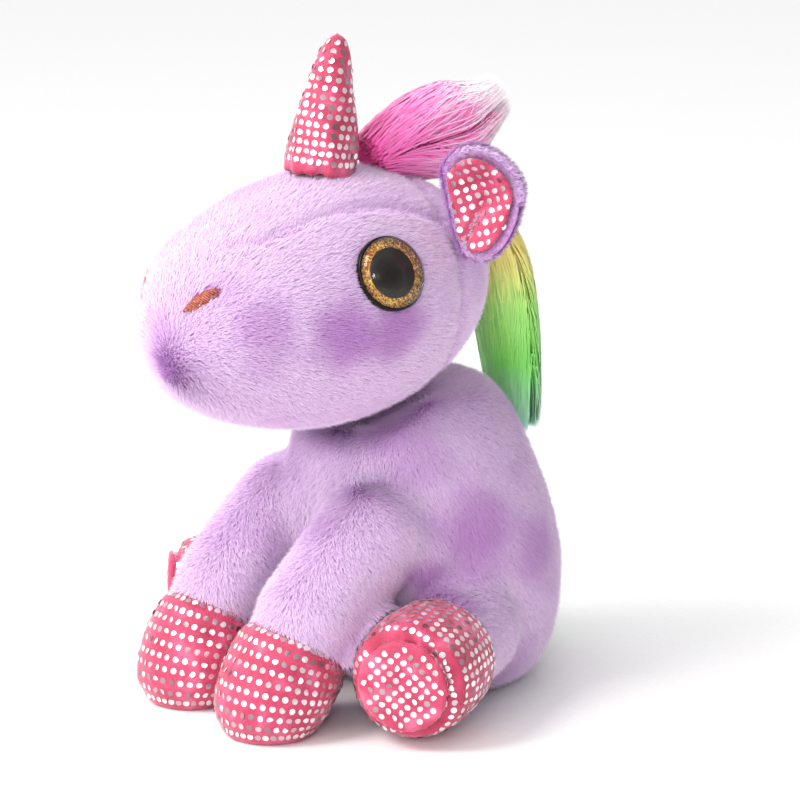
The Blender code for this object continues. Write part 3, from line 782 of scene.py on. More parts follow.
moved(head_skin, fuller_muzzle(coordinates(head_skin)))
points, out = coordinates(head_skin), normals(head_skin)
groove = np.exp(-((seam_distance(points) / SEAM_WIDTH) ** 2))
groove += np.exp(-((back_distance(points) / (1.6 * MM)) ** 2))
moved(head_skin, points - out * (groove * SEAM_DEPTH)[:, None])
seams = [(seam_distance, off_seam, SEAM_WIDTH), (back_distance, off_back, SEAM_WIDTH)]


def head_rise(points):
    """The pile stands at the tip of the nose, where the nap parts, and lies back elsewhere."""
    far = np.linalg.norm(points - nose, axis=1) / (10 * MM)
    return NAP_RISE + math.radians(26) * np.exp(-(far**2))


set_nap(head_skin, head_flow, head_rise, seams)
head_piece = backed("head_ground", head_skin, LAVENDER_GROUND)
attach(head_piece, "head")
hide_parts(*HEAD_NODES)

# %% [markdown]
# ## Safety eyes
# An eye is a disc with a glitter film and a black pupil, under a clear acrylic dome. Its place and the
# way it faces come from the flat iris disc of the model.


# %% Eye materials
def glitter_film():
    """Gold glitter in clear lacquer: small flakes, each turned its own way and of its own gold."""
    material, tree, shader = new_material("gold_glitter_lacquer")
    place = add(tree, "ShaderNodeTexCoord").outputs["Object"]
    flakes = add(tree, "ShaderNodeTexVoronoi", {"Vector": place, "Scale": 2600.0})
    grey = add(tree, "ShaderNodeSeparateColor", {"Color": flakes.outputs["Color"]})
    stops = [(0.0, "#5A2808"), (0.3, "#A8581A"), (0.55, "#D48C24"), (0.8, "#F8C048"), (1.0, "#FFE890")]
    colour = ramp(tree, grey.outputs[0], stops)
    relief = {"Height": grey.outputs[1], "Strength": 0.6, "Distance": 0.15 * MM}
    tilt = add(tree, "ShaderNodeBump", relief)
    give(shader, {"Base Color": colour, "Normal": tilt.outputs[0]})
    give(shader, {"Metallic": 0.35, "Roughness": 0.35})
    return material


def clear_dome():
    """Polished acrylic: it lets the iris through and mirrors the lights, more so at its edge."""
    material = bpy.data.materials.new("clear_polished_acrylic")
    material.use_nodes = True
    tree = material.node_tree
    tree.nodes.clear()
    through = add(tree, "ShaderNodeBsdfTransparent")
    mirror = add(tree, "ShaderNodeBsdfGlossy", {"Roughness": 0.03})
    facing = add(tree, "ShaderNodeLayerWeight", {"Blend": 0.5}).outputs["Facing"]
    steep = add(tree, "ShaderNodeMath", {0: facing, 1: 4.0}, operation="POWER")
    share = add(tree, "ShaderNodeMapRange", {"Value": steep.outputs[0], "To Min": 0.032, "To Max": 0.7})
    mixed = {0: share.outputs[0], 1: through.outputs[0], 2: mirror.outputs[0]}
    both = add(tree, "ShaderNodeMixShader", mixed)
    add(tree, "ShaderNodeOutputMaterial", {"Surface": both.outputs[0]})
    return material


GLITTER, ACRYLIC = glitter_film(), clear_dome()

# Moulded plastic has a faint orange-peel ripple.
INK = [(0.3, "#0B0807"), (0.7, "#17100D")]
GLOSS = {"Roughness": 0.3, "Specular IOR Level": 0.2}
BLACK = grained("black_moulded_polystyrene", INK, 900.0, GLOSS)


# %% Eye pieces
def flat_frame(name, inside):
    """A frame at the middle of a flat disc node, its Z out from a point inside the head."""
    points = np.unique(np.round(coordinates(nodes[name].data), 6), axis=0)
    middle = (points.min(0) + points.max(0)) / 2
    _, _, axes = np.linalg.svd(points - points.mean(0))
    out = axes[2] if axes[2] @ (middle - inside) > 0 else -axes[2]
    side = np.cross((0, 0, 1), out)
    side /= np.linalg.norm(side)
    turn = Matrix((side, np.cross(out, side), out)).transposed().to_4x4()
    radius = np.linalg.norm(points - middle, axis=1).max()
    return Matrix.Translation(Vector(middle)) @ turn, radius


def lathe(profile, place, count=64):
    """A turned mesh from (radius, height) pairs that start and end on the axis."""
    shape = bmesh.new()
    rings = []
    for radius, height in profile:
        if radius == 0:
            rings.append([shape.verts.new(place @ Vector((0, 0, height)))])
            continue
        turns = [2 * math.pi * i / count for i in range(count)]
        ring = [(radius * math.cos(t), radius * math.sin(t), height) for t in turns]
        rings.append([shape.verts.new(place @ Vector(corner)) for corner in ring])
    for a, b in zip(rings, rings[1:]):
        for i in range(count):
            j = (i + 1) % count
            corners = [a[i % len(a)], a[j % len(a)], b[j % len(b)], b[i % len(b)]]
            shape.faces.new(list(dict.fromkeys(corners)))
    bmesh.ops.recalc_face_normals(shape, faces=shape.faces)
    mesh = bpy.data.meshes.new("turned")
    shape.to_mesh(mesh)
    shape.free()
    return mesh


head_middle = np.array((head_low + head_high) / 2)
PUPIL_SHARE, DOME_RISE, RIM = 0.73, 4.6 * MM, 0.4 * MM
for side in ("left", "right"):
    place, radius = flat_frame(f"eye_iris_{side}", head_middle)
    radius += 0.35 * MM
    edge = radius + 0.3 * MM
    bezel = [(0, -0.9 * MM), (edge + RIM, -0.9 * MM), (edge + RIM, 0.5 * MM), (edge, 0.9 * MM)]
    bezel += [(edge - RIM, 0.5 * MM), (0, 0.3 * MM)]
    rim = lathe(bezel, place)
    iris = lathe([(0, 0.35 * MM), (radius, 0.35 * MM), (radius, 0.6 * MM), (0, 0.75 * MM)], place)
    pupil_edge = radius * PUPIL_SHARE
    pupil = lathe([(0, 0.75 * MM), (pupil_edge, 0.75 * MM), (pupil_edge, 0.95 * MM), (0, 1.3 * MM)], place)
    arc = [math.radians(a) for a in range(0, 90, 6)]
    cap = [(edge * math.cos(a), 0.85 * MM + DOME_RISE * math.sin(a)) for a in arc]
    dome = lathe([(0, 0.8 * MM)] + cap + [(0, 0.85 * MM + DOME_RISE)], place)
    for name, mesh, material, node in (
        (f"eye_rim_{side}", rim, BLACK, f"eye_post_{side}"),
        (f"eye_glitter_{side}", iris, GLITTER, f"eye_iris_{side}"),
        (f"eye_pupil_{side}", pupil, BLACK, None),
        (f"eye_clear_dome_{side}", dome, ACRYLIC, f"eye_dome_{side}"),
    ):
        piece = show(name, mesh, material)
        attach(piece, "head")
        if node:
            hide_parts(node)
eye_places = [flat_frame(f"eye_iris_{side}", head_middle) for side in ("left", "right")]


# %% Head pile, by panel, with a bare ring where each eye sits
def bar_distance(node, points):
    """How far points are from a bar node's middle, as a share of its half length and half width."""
    own = fuller_muzzle(np.unique(np.round(coordinates(nodes[node].data), 6), axis=0))
    middle = own.mean(0)
    _, _, axes = np.linalg.svd(own - middle)
    half = np.abs((own - middle) @ axes.T).max(0) + 0.3 * MM
    local = (points - middle) @ axes.T
    return np.hypot(local[:, 0] / half[0], local[:, 1] / half[1]) + (np.abs(local[:, 2]) > 6 * MM)


def clear_of_eyes(points):
    keep = np.ones(len(points), bool)
    for place, radius in eye_places:
        keep &= np.linalg.norm(points - np.array(place.translation), axis=1) > radius + 0.6 * MM
    for side in ("left", "right"):
        keep &= bar_distance(f"nostril_stitching_{side}", points) > 1.0
    return keep


def in_gusset(points):
    within = (points[:, 1] < gusset_high.y) & (points[:, 1] > gusset_low.y)
    return upper(points) & within & (np.abs(points[:, 0]) < gusset_half(points))


panels = {
    "gusset_pile": in_gusset,
    "head_back_pile": lambda p: p[:, 1] >= gusset_high.y,
    "cheek_pile_left": lambda p: (p[:, 1] < gusset_high.y) & ~in_gusset(p) & (p[:, 0] > 0),
    "cheek_pile_right": lambda p: (p[:, 1] < gusset_high.y) & ~in_gusset(p) & (p[:, 0] <= 0),
}
for seed, (name, rule) in enumerate(panels.items()):
    pile = pile_on(name, part_of(head_skin, lambda p: rule(p) & clear_of_eyes(p)), seed=seed + 40)
    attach(pile, "head")

# %% [markdown]
# ## Foil-dot knit
# Horn, hooves and ear linings are cut from one cloth: a fine crimson-pink knit with round foil dots
# 1.8 mm across on a square grid of 2.7 mm. The foil is stiff, so each dot keeps its own small tilt and
# catches the light or not. Each dot's colour is also a painted reflection, from dull grey to white at
# random. Dots are real discs, placed where lines to the grid meet the cloth.


# %% Cloth and foil materials
def knit_cloth():
    """Warp-knit polyester, dyed: ribs 0.45 mm apart, a satin sheen."""
    material, tree, shader = new_material("crimson_pink_tricot_knit")
    place = add(tree, "ShaderNodeTexCoord").outputs["Object"]
    ribs = add(tree, "ShaderNodeTexVoronoi", {"Vector": place, "Scale": 2000.0})
    wear = add(tree, "ShaderNodeTexNoise", {"Vector": place, "Scale": 160.0, "Detail": 4.0})
    colour = ramp(tree, wear.outputs["Fac"], [(0.3, "#A81E46"), (0.55, "#C43A62"), (0.75, "#D8688C")])
    relief = {"Height": ribs.outputs["Distance"], "Strength": 0.7, "Distance": 0.15 * MM}
    bump = add(tree, "ShaderNodeBump", relief)
    give(shader, {"Base Color": colour, "Normal": bump.outputs[0]})
    give(shader, {"Roughness": 0.62, "Sheen Weight": 0.3})
    return material


def hot_foil():
    """Hot-stamped silver foil: a mirror with fine creases, each dot painted at random from a dull grey, a
    painted dark reflection, to white, a painted highlight.
    """
    material, tree, shader = new_material("hot_stamped_silver_foil")
    # Painted reflection: a random value per dot sets how bright its painted highlight is.
    glint = add(tree, "ShaderNodeAttribute", attribute_name="glint").outputs["Fac"]
    stops = [(0.0, "#8A7478"), (0.12, "#B7A4A9"), (0.28, "#EBE0E5"), (1.0, "#FFFFFF")]
    colour = ramp(tree, glint, stops)
    place = add(tree, "ShaderNodeTexCoord").outputs["Object"]
    creases = add(tree, "ShaderNodeTexNoise", {"Vector": place, "Scale": 2500.0}).outputs["Fac"]
    relief = {"Height": creases, "Strength": 0.4, "Distance": 0.1 * MM}
    bump = add(tree, "ShaderNodeBump", relief)
    give(shader, {"Base Color": colour, "Normal": bump.outputs[0]})
    give(shader, {"Metallic": 0.85, "Roughness": 0.33})
    return material


KNIT, FOIL = knit_cloth(), hot_foil()
DOT_PITCH, DOT_RADIUS = 2.4 * MM, 0.84 * MM


# %% The dot tree
def dot_template():
    """A round foil dot of unit radius, very slightly domed."""
    shape = bmesh.new()
    bmesh.ops.create_circle(shape, cap_ends=True, cap_tris=True, segments=12, radius=1)
    for vert in shape.verts:
        vert.co.z = 0.10 * (1 - vert.co.xy.length_squared)
    mesh = bpy.data.meshes.new("dot")
    shape.to_mesh(mesh)
    shape.free()
    piece = bpy.data.objects.new("dot", mesh)
    bpy.context.scene.collection.objects.link(piece)
    return piece


def dot_tree():
    """Puts a disc on each point, flat to the cloth but for a random tilt."""
    tree = bpy.data.node_groups.new("Foil dots", "GeometryNodeTree")
    rows = [
        ("Radius", "NodeSocketFloat"),
        ("Tilt", "NodeSocketFloat"),
        ("Seed", "NodeSocketInt"),
        ("Dot", "NodeSocketObject"),
        ("Material", "NodeSocketMaterial"),
    ]
    given, names = interface(tree, rows)
    take = given.outputs
    out = add(tree, "GeometryNodeInputNamedAttribute", {"Name": "out"}, data_type="FLOAT_VECTOR")
    stray = add(
        tree,
        "FunctionNodeRandomValue",
        {0: (-1, -1, -1), 1: (1, 1, 1), "Seed": take["Seed"]},
        data_type="FLOAT_VECTOR",
    )
    tilt = add(tree, "ShaderNodeVectorMath", {0: stray.outputs[0], "Scale": take["Tilt"]}, operation="SCALE")
    lean = add(tree, "ShaderNodeVectorMath", {0: out.outputs[0], 1: tilt.outputs[0]}, operation="ADD")
    turn = add(tree, "FunctionNodeAlignRotationToVector", {"Vector": lean.outputs[0]}, axis="Z")
    model = add(tree, "GeometryNodeObjectInfo", {"Object": take["Dot"]})
    placed = add(
        tree,
        "GeometryNodeInstanceOnPoints",
        {
            "Points": take["Geometry"],
            "Instance": model.outputs["Geometry"],
            "Rotation": turn.outputs[0],
            "Scale": take["Radius"],
        },
    )
    # A random value per dot for the foil's painted highlight.
    painted_glint_chance = add(tree, "FunctionNodeRandomValue", {2: 0.0, 3: 1.0, "Seed": 5}, data_type="FLOAT")
    toned = add(
        tree,
        "GeometryNodeStoreNamedAttribute",
        {"Geometry": placed.outputs[0], "Name": "glint", "Value": painted_glint_chance.outputs[1]},
        data_type="FLOAT",
        domain="INSTANCE",
    )
    real = add(tree, "GeometryNodeRealizeInstances", {"Geometry": toned.outputs[0]})
    done = add(tree, "GeometryNodeSetMaterial", {"Geometry": real.outputs[0], "Material": take["Material"]})
    add(tree, "NodeGroupOutput", {"Geometry": done.outputs[0]})
    return tree, names


dot = dot_template()
DOT_TREE, DOT_INPUTS = dot_tree()


def dots_at(name, hits, body, seed=1):
    """Foil dots at (place, normal) hits, as a piece that rides a body."""
    mesh = bpy.data.meshes.new(name)
    mesh.from_pydata([place + out * 0.06 * MM for place, out in hits], [], [])
    row = mesh.attributes.new("out", "FLOAT_VECTOR", "POINT")
    row.data.foreach_set("vector", np.array([tuple(out) for _, out in hits]).ravel())
    values = {"Radius": DOT_RADIUS, "Tilt": 0.2, "Seed": seed, "Dot": dot, "Material": FOIL}
    piece = show(name, grown(mesh, DOT_TREE, DOT_INPUTS, values), FOIL)
    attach(piece, body)
    print(name, len(hits), "dots")
    return piece


def first_hit(search, start, way):
    place, out, _, _ = search.ray_cast(start, way)
    return (place, out if out.dot(way) < 0 else -out) if place else None


# %% [markdown]
# ## Hooves
# A hoof is a cap gathered onto a round sole, stuffed hard. Its grid of dots wraps round the leg's line.

# %% Hooves and their dots
HOOF_RADIUS, SOLE_RADIUS = 16 * MM, 10.5 * MM
SOLE_ROWS = range(-4, 5)
for seed, (leg_name, leg) in enumerate(legs.items()):
    which, side = leg["which"], leg["side"]
    names = [f"{which}_{piece}_{side}" for piece in ("sole", "hoof_cap", "sleeve", "stuffing")]
    form = skin_over(names, 1.1 * MM, 10, -0.2 * MM)
    form = inflated(form, STUFFING_PRESSURE, 0.7 * MM)
    sole_way = Vector((0, 0, 1)) if which == "front" else (leg["seam"] - leg["sole"]).normalized()
    points, out = coordinates(form), normals(form)
    past = (points - np.array(leg["seam"])) @ np.array(leg["seam_way"])
    tuck = np.clip((past + 4 * MM) / (5 * MM), 0, 1) ** 2 * 2.0 * MM
    risen = (points - np.array(leg["sole"])) @ np.array(sole_way)
    level = np.clip(1 - (out @ np.array(sole_way)) ** 2 * 1.3, 0, 1)
    crease = np.exp(-(((risen - 2.1 * MM) / (1.1 * MM)) ** 2)) * 0.7 * MM * level
    moved(form, points - out * (tuck + crease)[:, None])
    hoof = part_of(form, lambda p: (p - np.array(leg["seam"])) @ np.array(leg["seam_way"]) < 2.0 * MM)
    search = tree_of(hoof)
    piece = backed(f"{which}_hoof_{side}", hoof, KNIT, 0.5 * MM)
    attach(piece, leg_name)
    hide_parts(f"{which}_hoof_cap_{side}", f"{which}_sole_{side}")
    line = leg["seam"] - leg["sole"]
    across = sole_way.orthogonal().normalized()
    hits = []
    rows = int(line.length / DOT_PITCH)
    around = int(2 * math.pi * HOOF_RADIUS / DOT_PITCH)
    for r in range(rows):
        share = (r + 0.6) / rows
        middle = leg["sole"] + line * share
        way = sole_way.lerp(leg["seam_way"], share).normalized()
        first = (across - way * across.dot(way)).normalized()
        second = way.cross(first)
        for i in range(around):
            t = 2 * math.pi * i / around
            ray = first * math.cos(t) + second * math.sin(t)
            hit = first_hit(search, middle + ray * 30 * MM, -ray)
            if hit and (hit[0] - middle).length < 22 * MM:
                hits.append(hit)
    for i in SOLE_ROWS:
        for j in SOLE_ROWS:
            if math.hypot(i, j) * DOT_PITCH < SOLE_RADIUS:
                spot = leg["sole"] + (across * i + sole_way.cross(across) * j) * DOT_PITCH
                hit = first_hit(search, spot - sole_way * 12 * MM, sole_way)
                if hit:
                    hits.append(hit)
    dots_at(f"{which}_hoof_foil_{side}", hits, leg_name, seed + 60)

# %% [markdown]
# ## Horn
# The horn is a cone of the same knit, sewn up its back and turned, with small gathers at its base.

# %% Horn and its dots
horn_pivot = Vector(JOINTS["horn"]["pos_m"])
cover_points = coordinates(nodes["horn_cover"].data)
horn_tip = Vector(cover_points[cover_points[:, 2].argmax()])
horn_way = (horn_tip - horn_pivot).normalized()
horn_skin = skin_over(["horn_cover", "horn_stuffing"], 0.8 * MM, 5, -0.1 * MM)
points = coordinates(horn_skin)
height = (points - np.array(horn_pivot)) @ np.array(horn_way)
angle = np.arctan2(points[:, 0], -(points[:, 1] - horn_pivot.y))
low = np.clip(1 - height / (9 * MM), 0, 1)
out = normals(horn_skin)
gather = np.sin(angle * 11) * 0.35 * MM * low**2 + np.sin(angle * 5 + height / (5 * MM)) * 0.22 * MM
points = points + out * gather[:, None] - np.array(horn_way) * (low**3 * 3.2 * MM)[:, None]
moved(horn_skin, points)
horn_search = tree_of(horn_skin)
HORN_ROOT, HORN_END = 9.6 * MM, 1.8 * MM  # the radii that set how many dots go round
horn_piece = show("horn_cloth", horn_skin, KNIT)
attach(horn_piece, "horn")
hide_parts("horn_cover", "horn_stuffing")
side_way = horn_way.orthogonal().normalized()
hits = []
length = (horn_tip - horn_pivot).length
for r in range(int(length / DOT_PITCH)):
    rise = (r + 0.2) * DOT_PITCH
    radius = HORN_ROOT * (1 - rise / length) + HORN_END
    count = max(3, round(2 * math.pi * radius / DOT_PITCH))
    for i in range(count):
        t = 2 * math.pi * (i + 0.5 * (r % 2)) / count
        ray = side_way * math.cos(t) + horn_way.cross(side_way) * math.sin(t)
        hit = first_hit(horn_search, horn_pivot + horn_way * rise + ray * 20 * MM, -ray)
        if hit:
            hits.append(hit)
dots_at("horn_foil", hits, "horn", 71)

# %% [markdown]
# ## Ears
# An ear is a plush outer and a foil-dot lining, sewn edge to edge and folded at its root.

# %% Ears
FOLD_WIDTH, FOLD_DEPTH = 1.3 * MM, 2.2 * MM
LINING_SHRINK = 0.19  # how much narrower the lining is than its measured solid, as a share
RIM_STARTS = 0.86  # the share of the ear's half size beyond which plush shows around the lining
for seed, side in enumerate(("left", "right")):
    body = f"ear_{side}"
    outer = skin_over([f"ear_outer_{side}"], 0.7 * MM, 6, -0.3 * MM)
    lining = skin_over([f"ear_lining_{side}"], 0.7 * MM, 4, -0.4 * MM)
    lining_middle = np.array(middle_of(f"ear_lining_{side}"))
    face = unit(lining_middle - np.array(middle_of(f"ear_outer_{side}")))
    points = coordinates(lining)
    reach = points - lining_middle
    flat = reach - face * (reach @ face)[:, None]
    fold_way = unit(np.cross(face, unit(np.array((0.35 if side == "left" else -0.35, 0.25, 1.0)))))
    from_fold = flat @ fold_way + 0.35 * MM
    inner = np.clip(0.5 - (flat @ unit(np.cross(fold_way, face))) / (9 * MM), 0, 1)
    dip = np.exp(-((from_fold / FOLD_WIDTH) ** 2)) * inner * FOLD_DEPTH
    moved(lining, points - flat * LINING_SHRINK + face * 0.25 * MM - face * dip[:, None])
    root = Vector(JOINTS[body]["pos_m"])
    tip_way = unit(lining_middle - np.array(root))
    set_nap(outer, lambda p: np.tile(tip_way, (len(p), 1)), math.radians(34), reach=0.75)
    ground = show(f"ear_ground_{side}", outer.copy(), LAVENDER_GROUND)
    outer_middle, spots = np.array(middle_of(f"ear_outer_{side}")), coordinates(outer)
    breadth = unit(np.cross(face, tip_way))
    half = [np.abs((spots - outer_middle) @ axis).max() for axis in (unit(np.cross(breadth, face)), breadth)]

    def off_lining(points):
        """Whether points of the ear are behind its lining or beyond the lining's edge."""
        reach = points - outer_middle
        along, wide = reach @ unit(np.cross(breadth, face)) / half[0], reach @ breadth / half[1]
        return ((points - lining_middle) @ face < -1.0 * MM) | (np.hypot(along, wide) > RIM_STARTS)

    backs = part_of(outer, off_lining)
    pile = pile_on(f"ear_pile_{side}", backs, seed=seed + 80)
    cloth = show(f"ear_cloth_{side}", lining, KNIT)
    for piece in (ground, pile, cloth):
        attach(piece, body)
    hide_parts(f"ear_outer_{side}")
    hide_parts(f"ear_lining_{side}")
    search = tree_of(lining)
    face_way = Vector(face)
    one = Vector(tip_way)
    one = (one - face_way * one.dot(face_way)).normalized()
    two = face_way.cross(one)
    hits = []
    for i in range(-6, 7):
        for j in range(-7, 8):
            start = Vector(lining_middle) + (one * i + two * j) * DOT_PITCH + face_way * 20 * MM
            hit = first_hit(search, start, -face_way)
            if hit and hit[1].dot(face_way) > 0.35:
                hits.append(hit)
    dots_at(f"ear_foil_{side}", hits, body, seed + 90)

# %% [markdown]
# ## Nostrils
# Each nostril is a short bar of brown satin stitch: parallel threads laid side by side.


# %% Thread bars
BROWNS = [(0.3, "#7C3626"), (0.55, "#AD5A46"), (0.75, "#CC8570")]
THREAD = grained("brown_rayon_embroidery_thread", BROWNS, 1500.0, {"Roughness": 0.42})
# How deep the stitches pull each bar into the plush.
SUNK = {"nostril_threads_left": 1.3 * MM, "nostril_threads_right": 2.1 * MM}
STITCHES, THREAD_RADIUS = 17, 0.27 * MM


def thread_bar(name, node):
    """Satin stitches over a bar node: threads across its long axis, arched over the pile."""
    points = fuller_muzzle(np.unique(np.round(coordinates(nodes[node].data), 6), axis=0))
    middle = points.mean(0)
    _, _, axes = np.linalg.svd(points - middle)
    long, wide, out = (Vector(a) for a in axes)
    out = out if out.dot(Vector(middle) - Vector(head_middle)) > 0 else -out
    middle = middle - np.array(out) * SUNK[name]
    half_long = np.abs((points - middle) @ np.array(long)).max()
    half_wide = np.abs((points - middle) @ np.array(wide)).max()
    curve = bpy.data.curves.new(name, "CURVE")
    curve.dimensions = "3D"
    curve.bevel_depth = THREAD_RADIUS
    curve.bevel_resolution = 2
    for k in range(STITCHES):
        along = (k / (STITCHES - 1) * 2 - 1) * half_long
        reach = half_wide * math.sqrt(max(0.1, 1 - (along / half_long) ** 2)) * 1.25
        spline = curve.splines.new("POLY")
        spline.points.add(6)
        for i, point in enumerate(spline.points):
            s = i / 6 * 2 - 1
            slant = s * 0.9 * MM
            arch = 0.2 * MM * (1 - s * s) - 1.3 * MM * s * s
            spot = Vector(middle) + long * (along + slant) + wide * (reach * s) + out * arch
            point.co = (*spot, 1)
    work = bpy.data.objects.new(name, curve)
    bpy.context.scene.collection.objects.link(work)
    return show(name, applied(work), THREAD)


for side in ("left", "right"):
    bar = thread_bar(f"nostril_threads_{side}", f"nostril_stitching_{side}")
    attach(bar, "head")
    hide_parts(f"nostril_stitching_{side}")

# %% [markdown]
# ## Long pile: forelock, mane and tail
# These are combed long pile. Every strand follows the line of its lock, keeps its place across it and
# tapers. The lines run through the boxes of the measured locks. Geometry Nodes turn the strands, which
# are bare edges at first, into ribbons.


# %% Hair materials
def dyed_hair(name, stops, along_z=None):
    """Dyed acrylic pile: colour along the strand, or by height where one lock shades through hues."""
    material, tree, shader = new_material(name)
    along = add(tree, "ShaderNodeAttribute", attribute_name="along").outputs["Fac"]
    shade = add(tree, "ShaderNodeAttribute", attribute_name="shade").outputs["Fac"]
    factor = along
    if along_z:
        place = add(tree, "ShaderNodeTexCoord").outputs["Object"]
        height = add(tree, "ShaderNodeSeparateXYZ", {0: place}).outputs["Z"]
        drift = add(tree, "ShaderNodeMath", {0: shade, 1: 0.006}, operation="MULTIPLY")
        level = add(tree, "ShaderNodeMath", {0: height, 1: drift.outputs[0]}, operation="ADD")
        span = {"Value": level.outputs[0], "From Min": along_z[0], "From Max": along_z[1]}
        factor = add(tree, "ShaderNodeMapRange", span).outputs[0]
    colour = ramp(tree, factor, stops)
    spread = add(tree, "ShaderNodeMapRange", {"Value": shade, "To Min": 0.94, "To Max": 1.12})
    hue = add(tree, "ShaderNodeHueSaturation", {"Value": spread.outputs[0], "Color": colour})
    give(shader, {"Base Color": hue.outputs[0], "Roughness": 0.6, "Sheen Weight": 0.3})
    return material


# %% The strand tree
def strand_tree():
    """Turns chains of edges into tapered ribbons."""
    tree = bpy.data.node_groups.new("Strands", "GeometryNodeTree")
    rows = [("Width", "NodeSocketFloat"), ("Material", "NodeSocketMaterial")]
    given, names = interface(tree, rows)
    take = given.outputs
    curves = add(tree, "GeometryNodeMeshToCurve", {"Mesh": take["Geometry"]})
    along = add(tree, "GeometryNodeInputNamedAttribute", {"Name": "along"}, data_type="FLOAT")
    thinning = {"Value": along.outputs[0], "From Min": 0.45, "To Min": 1.0, "To Max": 0.15}
    taper = add(tree, "ShaderNodeMapRange", thinning)
    radius = add(tree, "ShaderNodeMath", {0: take["Width"], 1: taper.outputs[0]}, operation="MULTIPLY")
    ground = add(tree, "GeometryNodeInputNamedAttribute", {"Name": "ground"}, data_type="FLOAT_VECTOR")
    way = add(tree, "GeometryNodeInputTangent")
    both = {0: ground.outputs[0], 1: way.outputs[0]}
    across = add(tree, "ShaderNodeVectorMath", both, operation="CROSS_PRODUCT")
    facing = {"Curve": curves.outputs[0], "Normal": across.outputs[0]}
    turned = add(tree, "GeometryNodeSetCurveNormal", facing, mode="FREE")
    profile = add(tree, "GeometryNodeCurvePrimitiveLine", {"Start": (0.5, 0, 0), "End": (-0.5, 0, 0)})
    shape = {"Curve": turned.outputs[0], "Profile Curve": profile.outputs[0], "Scale": radius.outputs[0]}
    ribbon = add(tree, "GeometryNodeCurveToMesh", shape)
    real = add(tree, "GeometryNodeRealizeInstances", {"Geometry": ribbon.outputs[0]})
    done = add(tree, "GeometryNodeSetMaterial", {"Geometry": real.outputs[0], "Material": take["Material"]})
    add(tree, "NodeGroupOutput", {"Geometry": done.outputs[0]})
    return tree, names


STRAND_TREE, STRAND_INPUTS = strand_tree()


# %% Locks
STRAND_WIDTH = 0.34 * MM


def smooth_line(stations, count):
    """Points, widths and depths read evenly from stations of (point, width, depth)."""
    table = np.array([[*p, w, d] for p, w, d in stations], float)
    steps = np.linspace(0, len(table) - 1, count)
    out = np.empty((count, table.shape[1]))
    for k, s in enumerate(steps):
        i = min(int(s), len(table) - 2)
        f = s - i
        a, b = table[max(i - 1, 0)], table[i]
        c, d = table[i + 1], table[min(i + 2, len(table) - 1)]
        bend, twist = 2 * a - 5 * b + 4 * c - d, 3 * b - a - 3 * c + d
        out[k] = 0.5 * (2 * b + (c - a) * f + bend * f**2 + twist * f**3)
    return out[:, :3], out[:, 3], out[:, 4]


def lock(name, node, stations, count, material, body, rooted, seed):
    """A lock of strands along its stations. The root of a strand lies in the first part of the lock."""
    rng = np.random.default_rng(seed)
    low, high = (np.array(corner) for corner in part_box(node))
    placed = [(low + np.array(p) * (high - low), w * MM, d * MM) for p, w, d in stations]
    steps = 9
    line, wide, deep = smooth_line(placed, 41)
    way = unit(np.gradient(line, axis=0))
    side = unit(np.array((1.0, 0, 0)) - way * way[:, :1])
    other = np.cross(way, side)
    number = count
    start = rng.uniform(0, rooted, number)
    reach = np.minimum(1, start + (1 - start) * rng.uniform(0.55, 1.0, number) ** 0.5)
    turn = rng.uniform(0, 2 * np.pi, number)
    spread = np.sqrt(rng.uniform(0.02, 1, number))
    clump = rng.integers(0, 26, number)
    clump_turn = rng.uniform(0, 2 * np.pi, 26)
    shift = rng.normal(0, 0.5, number)
    points, edges, along, shade, ground = [], [], [], [], []
    for k in range(number):
        t = start[k] + (reach[k] - start[k]) * np.linspace(0, 1, steps)
        at = np.clip(t * 40, 0, 40)
        i = np.minimum(at.astype(int), 39)
        f = (at - i)[:, None]
        here = line[i] * (1 - f) + line[i + 1] * f
        w = (wide[i] * (1 - f[:, 0]) + wide[i + 1] * f[:, 0])[:, None]
        d = (deep[i] * (1 - f[:, 0]) + deep[i + 1] * f[:, 0])[:, None]
        own = np.linspace(0, 1, steps)[:, None]
        angle = turn[k] + (clump_turn[clump[k]] - turn[k]) * 0.3 * own
        wave = 0.7 * MM * np.sin(own * 5 + clump[k] * 2.4 + shift[k]) * own
        offset = side[i] * (w * spread[k] * np.cos(angle)) + other[i] * (d * spread[k] * np.sin(angle))
        ground += unit(side[i] * np.cos(angle) / w + other[i] * np.sin(angle) / d).ravel().tolist()
        base = len(points)
        points += (here + offset + side[i] * wave).tolist()
        edges += [(base + j, base + j + 1) for j in range(steps - 1)]
        along += np.linspace(0, 1, steps).tolist()
        shade += [rng.uniform()] * steps
    mesh = bpy.data.meshes.new(name)
    mesh.from_pydata(points, edges, [])
    for row, values in (("along", along), ("shade", shade)):
        mesh.attributes.new(row, "FLOAT", "POINT").data.foreach_set("value", values)
    mesh.attributes.new("ground", "FLOAT_VECTOR", "POINT").data.foreach_set("vector", ground)
    made = soften(grown(mesh, STRAND_TREE, STRAND_INPUTS, {"Width": STRAND_WIDTH, "Material": material}))
    piece = show(name, made, material)
    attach(piece, body)
    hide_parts(node)
    print(name, number, "strands,", len(made.polygons), "faces")


